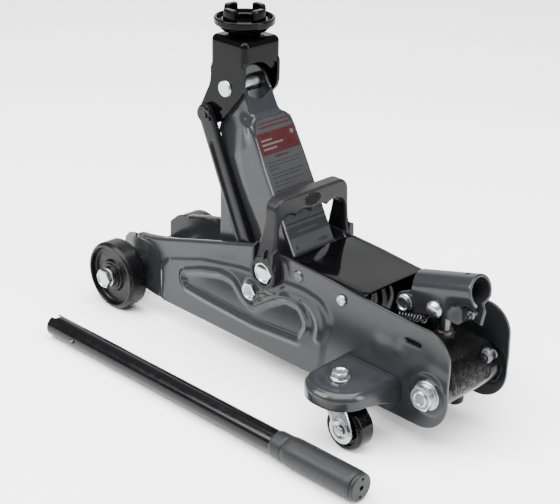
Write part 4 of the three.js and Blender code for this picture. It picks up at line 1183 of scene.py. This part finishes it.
# ------------------------------------------------------------------ pump lever
LEVER = (363.4, 120.0)
LEVER_AT = (LEVER[0], 0, LEVER[1])
LEVER_TILT = math.radians(15)
# The socket: a half tube about a line TUBE_MID above the lever pin, its cheeks pinched together to
# half width PINCH_HALF towards the mouth.
TUBE_OUT, TUBE_MID, SOCKET_T = 15.5, 12.0, 3.1
PINCH_HALF = 5.6
PINCH_TURN = math.acos(PINCH_HALF / TUBE_OUT)
SOCKET_QUARTER = TUBE_OUT * QUARTER_TURN
MOUTH = 76.3
PLUNGER_BOLT = (34.1, -3.3)


def on_lever(x, y, z):
    x, y, z = (np.asarray(v, float) for v in (x, y, z))
    return np.column_stack([LEVER[0] + x * math.cos(LEVER_TILT) - z * math.sin(LEVER_TILT), y,
                            LEVER[1] + x * math.sin(LEVER_TILT) + z * math.cos(LEVER_TILT)])


def lever_turned(body):
    return on_lever(*np.asarray(body[0], float).T), body[1]


def socket_place(p, depth):
    x, u = p[:, 0], p[:, 1]
    s = np.abs(u)
    r = TUBE_OUT - depth
    turn = np.clip(s, 0, SOCKET_QUARTER) / TUBE_OUT
    t = np.clip(s - SOCKET_QUARTER, 0, None)
    round_turn = np.clip(t / TUBE_OUT, 0, PINCH_TURN)
    past = np.clip(t - TUBE_OUT * PINCH_TURN, 0, None)
    y_round = np.where(past > 0, PINCH_HALF - depth, r * np.cos(round_turn))
    z_round = TUBE_MID - r * np.sin(round_turn) - past
    pinched = smooth((x - 43) / 15)
    y = np.where(t > 0, r * (1 - pinched) + y_round * pinched, r * np.sin(turn))
    z = np.where(t > 0, (TUBE_MID - t) * (1 - pinched) + z_round * pinched, TUBE_MID + r * np.cos(turn))
    return on_lever(x, np.sign(u) * y, z)


def socket_outline():
    """The socket unfolded: the near side's half with its short tab, and the far side's with the long one."""
    def flat(z):
        return SOCKET_QUARTER + TUBE_MID - z

    def pinched(z):
        return SOCKET_QUARTER + TUBE_OUT * PINCH_TURN + (TUBE_MID - TUBE_OUT * math.sin(PINCH_TURN)) - z

    cheek = [(10, 0), (10, flat(17), 2), (8, flat(12), 3), (-10.5, flat(9), 7), (-10.5, flat(-9.5), 7),
             (44, flat(-10.5), 8)]
    end = [(MOUTH, flat(3), 4), (MOUTH, 0)]
    near = fillet([*cheek, (52, pinched(-17.5), 2), (65, pinched(-14.5), 2), (71.5, pinched(-3.6), 2),
                   (74.5, pinched(-1.5), 2), *end], False)
    far = fillet([*cheek, (51, pinched(-19), 2), (67.5, pinched(-23.5), 2), (74.5, pinched(-9), 2),
                  (73, pinched(-2.5), 2), *end], False)
    return [(x, -u) for x, u in near] + far[-2:0:-1]


def build_lever():
    socket = sheet(socket_outline(), [circle(64.3, 0, 2.4, 20)], socket_place, SOCKET_T, 2.2, 0.7)
    piece("lever_socket_pressed", socket, GREY, "pump_lever", "dark_grey_paint", ["lever_socket"])
    bolt_x, bolt_z = PLUNGER_BOLT
    bolt_at = (bolt_x, 0, bolt_z)
    dome = [(0, -15.8), (8.3, -15.8, 0.3), (8.0, -18.2, 1.0), (5.4, -20.9, 3), (0, -22.0)]
    bolt = join(lathe(dome, "y", bolt_at, 56), bar("y", 4.5, -16, 20.4, bolt_at, 0.5),
                hex_head("y", (bolt_x, 15.8, bolt_z), 13.6, 4.4, dish=0.2))
    piece("plunger_bolt_domed", lever_turned(bolt), ZINC, "pump_lever", "zinc", ["plunger_bolt"])
    screw_x, screw_z = 66, -9
    screw_at = (screw_x, 0, screw_z)
    screw = join(bar("y", 2.6, -10.6, 10.6, screw_at, 0.3, 20),
                 hex_head("y", (screw_x, 5.9, screw_z), 8.2, 3, dish=0.3),
                 lathe([(0, -5.9), (4.4, -5.9, 0.3), (4.0, -7.8, 1), (0, -8.6)], "y", screw_at, 28))
    piece("socket_screw_panhead", lever_turned(screw), OILED, "pump_lever", "zinc", ["socket_screw"])
    pin = join(hex_head("y", (LEVER[0], -15.8, LEVER[1]), 13.8, 4.6, -1, dish=0.9, washer=8.4),
               bar("y", 5, -17, 17.5, LEVER_AT, 0.5),
               lathe([(0, 15.8), (7, 15.8, 0.3), (6.6, 18.6, 0.8), (0, 19.4)], "y", LEVER_AT, 40))
    piece("lever_pin_hex", pin, ZINC, "frame", "zinc", ["lever_pin"])


def build_spring():
    """The lever's coil spring, with a hook at its lower end and a tail at the other."""
    turns, steps, start, end, coil_r, wire_r = 8, 14, -5.5, 23.0, 2.9, 0.95
    coil = []
    for k in range(turns * steps + 1):
        angle = 2 * math.pi * k / steps
        along = start + (end - start) * k / (turns * steps)
        coil.append((along, -19.2 + coil_r * math.cos(angle),
                     -11.2 - 0.08 * along + coil_r * math.sin(angle)))
    hook = [(-5.5, -17.6, -1.0), (-7.4, -18.6, -4.5), (-7.0, -18.4, -8.0)]
    tail = [(24.6, -18.4, -12.0), (28.5, -18.2, -10.5), (30.5, -17.4, -7.2)]
    path = [*hook, *coil, *tail]
    piece("lever_return_spring", lever_turned(sweep(path, [wire_r] * len(path), 9)), SPRING, "pump_lever",
          "black_paint", weighted=False)


build_lever()
build_spring()


# ------------------------------------------------------------------ hydraulic unit
def rough(name, bodies, voxel, amount, material, ride, slot, replaces):
    """Bodies fused into one cast lump, with the skin roughened by amount millimetres."""
    obj = piece(name, join(*bodies), material, ride, slot, replaces, weighted=False)
    fuse = obj.modifiers.new("fuse", "REMESH")
    fuse.mode = "VOXEL"
    fuse.voxel_size = voxel * MM
    soften = obj.modifiers.new("soften", "SMOOTH")
    soften.iterations = 3
    evaluated = obj.evaluated_get(bpy.context.evaluated_depsgraph_get())
    mesh = bpy.data.meshes.new_from_object(evaluated)
    obj.modifiers.clear()
    old, obj.data = obj.data, mesh
    bpy.data.meshes.remove(old)
    points, normals = (np.empty(len(mesh.vertices) * 3) for _ in range(2))
    mesh.vertices.foreach_get("co", points)
    mesh.vertices.foreach_get("normal", normals)
    points, normals = points.reshape(-1, 3), normals.reshape(-1, 3)
    shifts = np.array([noise.noise(Vector(p) * 180) + 0.6 * noise.noise(Vector(p) * 520) for p in points])
    points += normals * (shifts * amount * MM)[:, None]
    mesh.vertices.foreach_set("co", points.ravel())
    mesh.update()
    mesh.polygons.foreach_set("use_smooth", [True] * len(mesh.polygons))
    if not mesh.materials:
        mesh.materials.append(material)


def cad_shape(node):
    """The CAD node's mesh as a body in the jack's millimetres."""
    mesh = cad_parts[node].data
    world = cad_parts[node].matrix_world
    vertices = np.array([tuple((world @ v.co - ORIGIN) / MM) for v in mesh.vertices])
    return vertices, [list(p.vertices) for p in mesh.polygons]


VALVE_Y, VALVE_Z = 22, 79
CYLINDER_AT = (0, 0, 65.4)
RAM_TURN = math.radians(39.35)
YOKE_X, YOKE_Z = on_arm(YOKE[0], 0, YOKE[1])[[0, 2]]


def build_base():
    # The bosses of the casting are drawn over the CAD block and fused with it.
    wrap = lathe([(0, -31), (16.5, -31, 2), (18.6, -28, 3), (18.6, 24, 3), (16.5, 27.5, 2), (0, 27.5)], "y",
                 (416.2, 0, 62.4), 40)
    boss = lathe([(0, 408), (12.5, 408, 2), (12.5, 424, 3), (11, 426.5, 1.5), (0, 426.5)], "x",
                 (0, VALVE_Y, VALVE_Z), 32)
    foot = lathe([(0, 26), (8, 26, 2), (9, 44, 2), (0, 44)], "z", (408, 9, 0), 24)
    ridge = slab("y", fillet([(392, 78, 3), (418, 84, 4), (428, 76, 4), (424, 62), (392, 62)]), 4, 10, 1.5, 3)
    rough("hydraulic_base_cast", [cad_shape("hydraulic_base"), wrap, boss, foot, ridge], 1.3, 0.55, CAST,
          "frame", "black_casting", ["hydraulic_base"])


def build_plunger():
    px = LEVER[0] + 34
    gland = hex_head("z", (px, 0, 86.5), 18.5, 11.0, dish=0.2)
    piece("plunger_gland", gland, SATIN_BLACK, "frame", "black_casting")
    seal = [(6.3, 97.4), (8.4, 97.4, 0.4), (8.2, 100.2, 0.9), (6.9, 101.4, 0.6), (6.3, 101.4)]
    piece("plunger_wiper_ring", lathe(seal, "z", (px, 0, 0), 32), SEAL, "frame", "black_casting")
    bolt_x, _, bolt_z = on_lever([PLUNGER_BOLT[0]], [0], [PLUNGER_BOLT[1]])[0]
    rod = lathe([(0, 78), (6, 78, 0.5), (6, bolt_z - 8), (0, bolt_z - 8)], "z", (px, 0, 0), 40)
    eye = slab("y", fillet(box(bolt_x - 22, bolt_x + 7.8, bolt_z - 10, bolt_z + 9.5, 6)), -6, 6, 0.8, 3,
               [fillet(box(bolt_x - 18, bolt_x + 5.5, bolt_z - 5.6, bolt_z + 5.6, 5.5))])
    piece("pump_plunger_rod", join(rod, eye), OILED, "plunger", "steel", ["pump_plunger"])


def build_cross_tube():
    tx, tz = TUBE_AT
    at = (tx, 0, tz)
    tube = lathe([(14, -41.2), (15.5, -41.2, 0.4), (15.5, 41.2, 0.4), (14, 41.2)], "y", at, 72)
    caps = [bar("y", 14.4, side * 38.5, side * 41.1, at, 0.3, 48) for side in (-1, 1)]
    piece("rear_cross_tube_drawn", join(tube, *caps), TUBE, "frame", "black_paint", ["rear_cross_tube"])
    beads = []
    angles = [2 * math.pi * k / 60 for k in range(61)]
    for side in (-1, 1):
        path = []
        for angle in angles:
            r = 16.6 + 0.35 * math.sin(7 * angle + side)
            path.append((tx + r * math.cos(angle), side * (40.2 - 0.3 * math.sin(11 * angle)),
                         tz + r * math.sin(angle)))
        beads.append(sweep(path, [2.0 + 0.35 * math.sin(23 * angle) for angle in angles], 8))
    piece("rear_tube_welds", join(*beads), CAST, "frame", "black_paint", weighted=False)


def build_cylinder():
    tank = lathe([(13.5, 267), (23.5, 267, 1.5), (26, 270, 2), (26, 348, 1), (24.8, 351.6, 0.8), (0, 351.6),
                  (0, 344), (13.5, 344)], "x", CYLINDER_AT, 72)
    weld = lathe([(25.4, 343.6), (27.2, 345.6, 1.6), (27.4, 348.6, 1.6), (25.4, 351.4)], "x", CYLINDER_AT, 64)
    piece("oil_reservoir_drawn", join(tank, weld), TUBE, "frame", "black_paint", ["oil_reservoir"])
    plug = [(0, 88.5), (6, 88.5, 0.4), (6, 92.6, 1.0), (3.2, 93.4, 0.5), (0, 93.4)]
    piece("filler_plug", lathe(plug, "z", (300, 0, 0), 32), SEAL, "frame", "black_paint")
    piece("yoke_pin_turned", bar("y", 7, -29.2, 29.2, (YOKE_X, 0, YOKE_Z), 0.8, 40), STEEL, "lift_arm",
          "steel", ["yoke_pin"])
    rod = [(0, YOKE_X + 14.2), (12.4, YOKE_X + 14.2, 0.5), (13, YOKE_X + 15.2, 0.6), (13, 276), (0, 276)]
    piece("ram_rod_ground", lathe(rod, "x", CYLINDER_AT, 56), STEEL, "ram", "steel", ["ram_rod"])
    # The yoke pin rises and falls in the slot by half the height of its arc.
    slot = 52 * (1 - math.cos(RAM_TURN)) / 2 + 7.8
    z = CYLINDER_AT[2]
    head = slab("y", fillet(box(YOKE_X - 14, YOKE_X + 14, z - 20, z + 20, 5)), -16, 16, 1.2, 3,
                [fillet(box(YOKE_X - 8.8, YOKE_X + 8.8, z - slot, z + slot, 7))])
    piece("ram_head_forged", head, STEEL, "ram", "steel", ["ram_head"])


def build_valve():
    y, z = VALVE_Y, VALVE_Z
    stem = bar("x", 3.6, 412, 431, (0, y, z), 0.4, 28)
    collar = lathe([(0, 426.6), (6.6, 426.6, 0.6), (7, 428.4, 0.4), (7, 434, 0.8), (5.6, 434.6, 0.3),
                    (0, 434.2)], "x", (0, y, z), 40)
    pin = bar("z", 2.2, z - 7.3, z + 7.3, (430.5, y, 0), 0.6, 20)
    ear = fillet([(428, z - 4.6, 1), (437.4, z - 4.6, 4.4), (437.4, z + 4.6, 4.4), (428, z + 4.6, 1)])
    # Two jaws of the universal joint, with the pin across them.
    jaws = [slab("y", ear, *sorted((y + side * 4.7, y + side * 6.6)), 0.5, holes=[circle(433.2, z, 1.7, 16)])
            for side in (-1, 1)]
    cross = bar("y", 1.6, y - 7.4, y + 7.4, (433.2, 0, z), 0.4, 16)
    piece("release_valve_joint", join(stem, collar, pin, *jaws, cross), OILED, "release_valve", "steel",
          ["release_valve"])


build_base()
build_plunger()
build_cross_tube()
build_cylinder()
build_valve()

# ------------------------------------------------------------------ loose pump handle
# Drawn along x from its inner end, then laid on the floor: turned about z, and down where the grip is.
HANDLE_START = (11.0, -151.2)
HANDLE_TURN = math.radians(0.72)
HANDLE_R, HANDLE_BORE, GRIP_R, HANDLE_L = 11.3, 9.6, 13.7, 423.0
COLLAR, TUBE_END = 323.0, 361
BUTTON_X = 42


def handle_turned(body):
    rise = -math.atan((GRIP_R - HANDLE_R) / COLLAR)
    turn = Matrix.Rotation(HANDLE_TURN, 3, "Z") @ Matrix.Rotation(rise, 3, "Y")
    vertices = np.asarray(body[0], float) @ np.array(turn).T
    return vertices + np.array([*HANDLE_START, HANDLE_R + 0.1]), body[1]


def build_pump_handle():
    tube = lathe([(HANDLE_BORE, 0), (HANDLE_R, 0, 0.5), (HANDLE_R, TUBE_END, 0.3), (HANDLE_BORE, TUBE_END)],
                 "x", count=72)
    slot = slab("z", fillet([(-3, -4.2), (7.5, -4.2, 4.1), (7.5, 4.2, 4.1), (-3, 4.2)]), 0, 20, 0.05, 1)
    hole = bar("y", 2.7, -20, 0, (BUTTON_X, 0, 0), 0.1, 24)
    piece("handle_tube_drawn", handle_turned(carve(tube, slot, hole)), TUBE, "pump_handle", "black_paint",
          ["handle_tube"])
    button = [(BUTTON_X, -7.4, 0.0), (BUTTON_X, -10.5, 0.0), (BUTTON_X, -12.4, -0.2), (41.6, -13.5, -0.4),
              (41.1, -13.9, -0.5)]
    hook = sweep(button, [2.1, 2.1, 2.0, 1.7, 1.2], 14)
    leaf = slab("y", fillet(box(30, 58, -3, 3, 1.5)), -8.6, -7.6, 0.3, 3)
    piece("spring_button_hook", handle_turned(join(hook, leaf)), OILED, "spring_button", "steel",
          ["spring_button"], weighted=False)
    grip = lathe([
        (11.4, COLLAR), (12.0, COLLAR, 0.4), (12.6, COLLAR + 2, 0.6), (12.7, COLLAR + 13, 0.6),
        (12.2, COLLAR + 14.5, 0.4), (13.2, COLLAR + 16.5, 0.8), (GRIP_R, COLLAR + 21, 2),
        (GRIP_R, HANDLE_L - 8, 3), (13.3, HANDLE_L - 5, 0.4), (12.6, HANDLE_L - 4.2, 0.3),
        (11.4, HANDLE_L - 4.2),
    ], "x", count=96)
    cap = lathe([
        (0, HANDLE_L - 12), (5, HANDLE_L - 12), (5, HANDLE_L - 4), (12.4, HANDLE_L - 4.1),
        (13.2, HANDLE_L - 3.4, 0.3), (13.0, HANDLE_L - 1.2, 1.2), (11.6, HANDLE_L - 0.4, 0.8),
        (0, HANDLE_L - 0.2),
    ], "x", count=72)
    holes = [bar("x", r, HANDLE_L - depth, HANDLE_L + 2, (0, y, z), 0.1, 24)
             for r, depth, y, z in ((2.4, 8, 0, 0), (1.4, 3.5, 1.4, 8.2), (1.4, 3.5, -1.4, -8.2))]
    for name, body, node in (("handle_grip_moulded", grip, "handle_grip"),
                             ("grip_end_cap_moulded", carve(cap, *holes), "grip_end_cap")):
        piece(name, handle_turned(body), GRIP, "pump_handle", "grey_plastic", [node], sharp=50)


build_pump_handle()

# ------------------------------------------------------------------ floor and light
FLOOR_HALF = 6
WORLD_STRENGTH = 0.55


def build_stage():
    mesh = bpy.data.meshes.new("floor")
    corners = [(u * FLOOR_HALF, v * FLOOR_HALF, 0) for u, v in ((-1, -1), (1, -1), (1, 1), (-1, 1))]
    mesh.from_pydata(corners, [], [(0, 1, 2, 3)])
    floor = bpy.data.objects.new("floor", mesh)
    bpy.context.scene.collection.objects.link(floor)
    mesh.materials.append(finish("pale_floor", (0.93, 0.93, 0.93), 0.65, tone=0.005, swing=0.02, peel=0.02))
    world = bpy.data.worlds.new("studio")
    world.use_nodes = True
    background = world.node_tree.nodes["Background"]
    background.inputs["Color"].default_value = (1, 1, 1, 1)
    background.inputs["Strength"].default_value = WORLD_STRENGTH
    bpy.context.scene.world = world
    add_light("top", (0.2, -0.2, 2.2), (0, 0, 0), 2.6, 2.6, 260)
    add_light("key", (-0.9, -1.5, 1.5), (0, 0, 0.12), 0.9, 1.3, 75)
    add_light("right", (1.5, 0.5, 0.8), (0, 0, 0.15), 0.6, 1.3, 40)
    add_light("back", (-1.5, 1.9, 1.2), (0, 0, 0.15), 2.4, 1.5, 18)


build_stage()
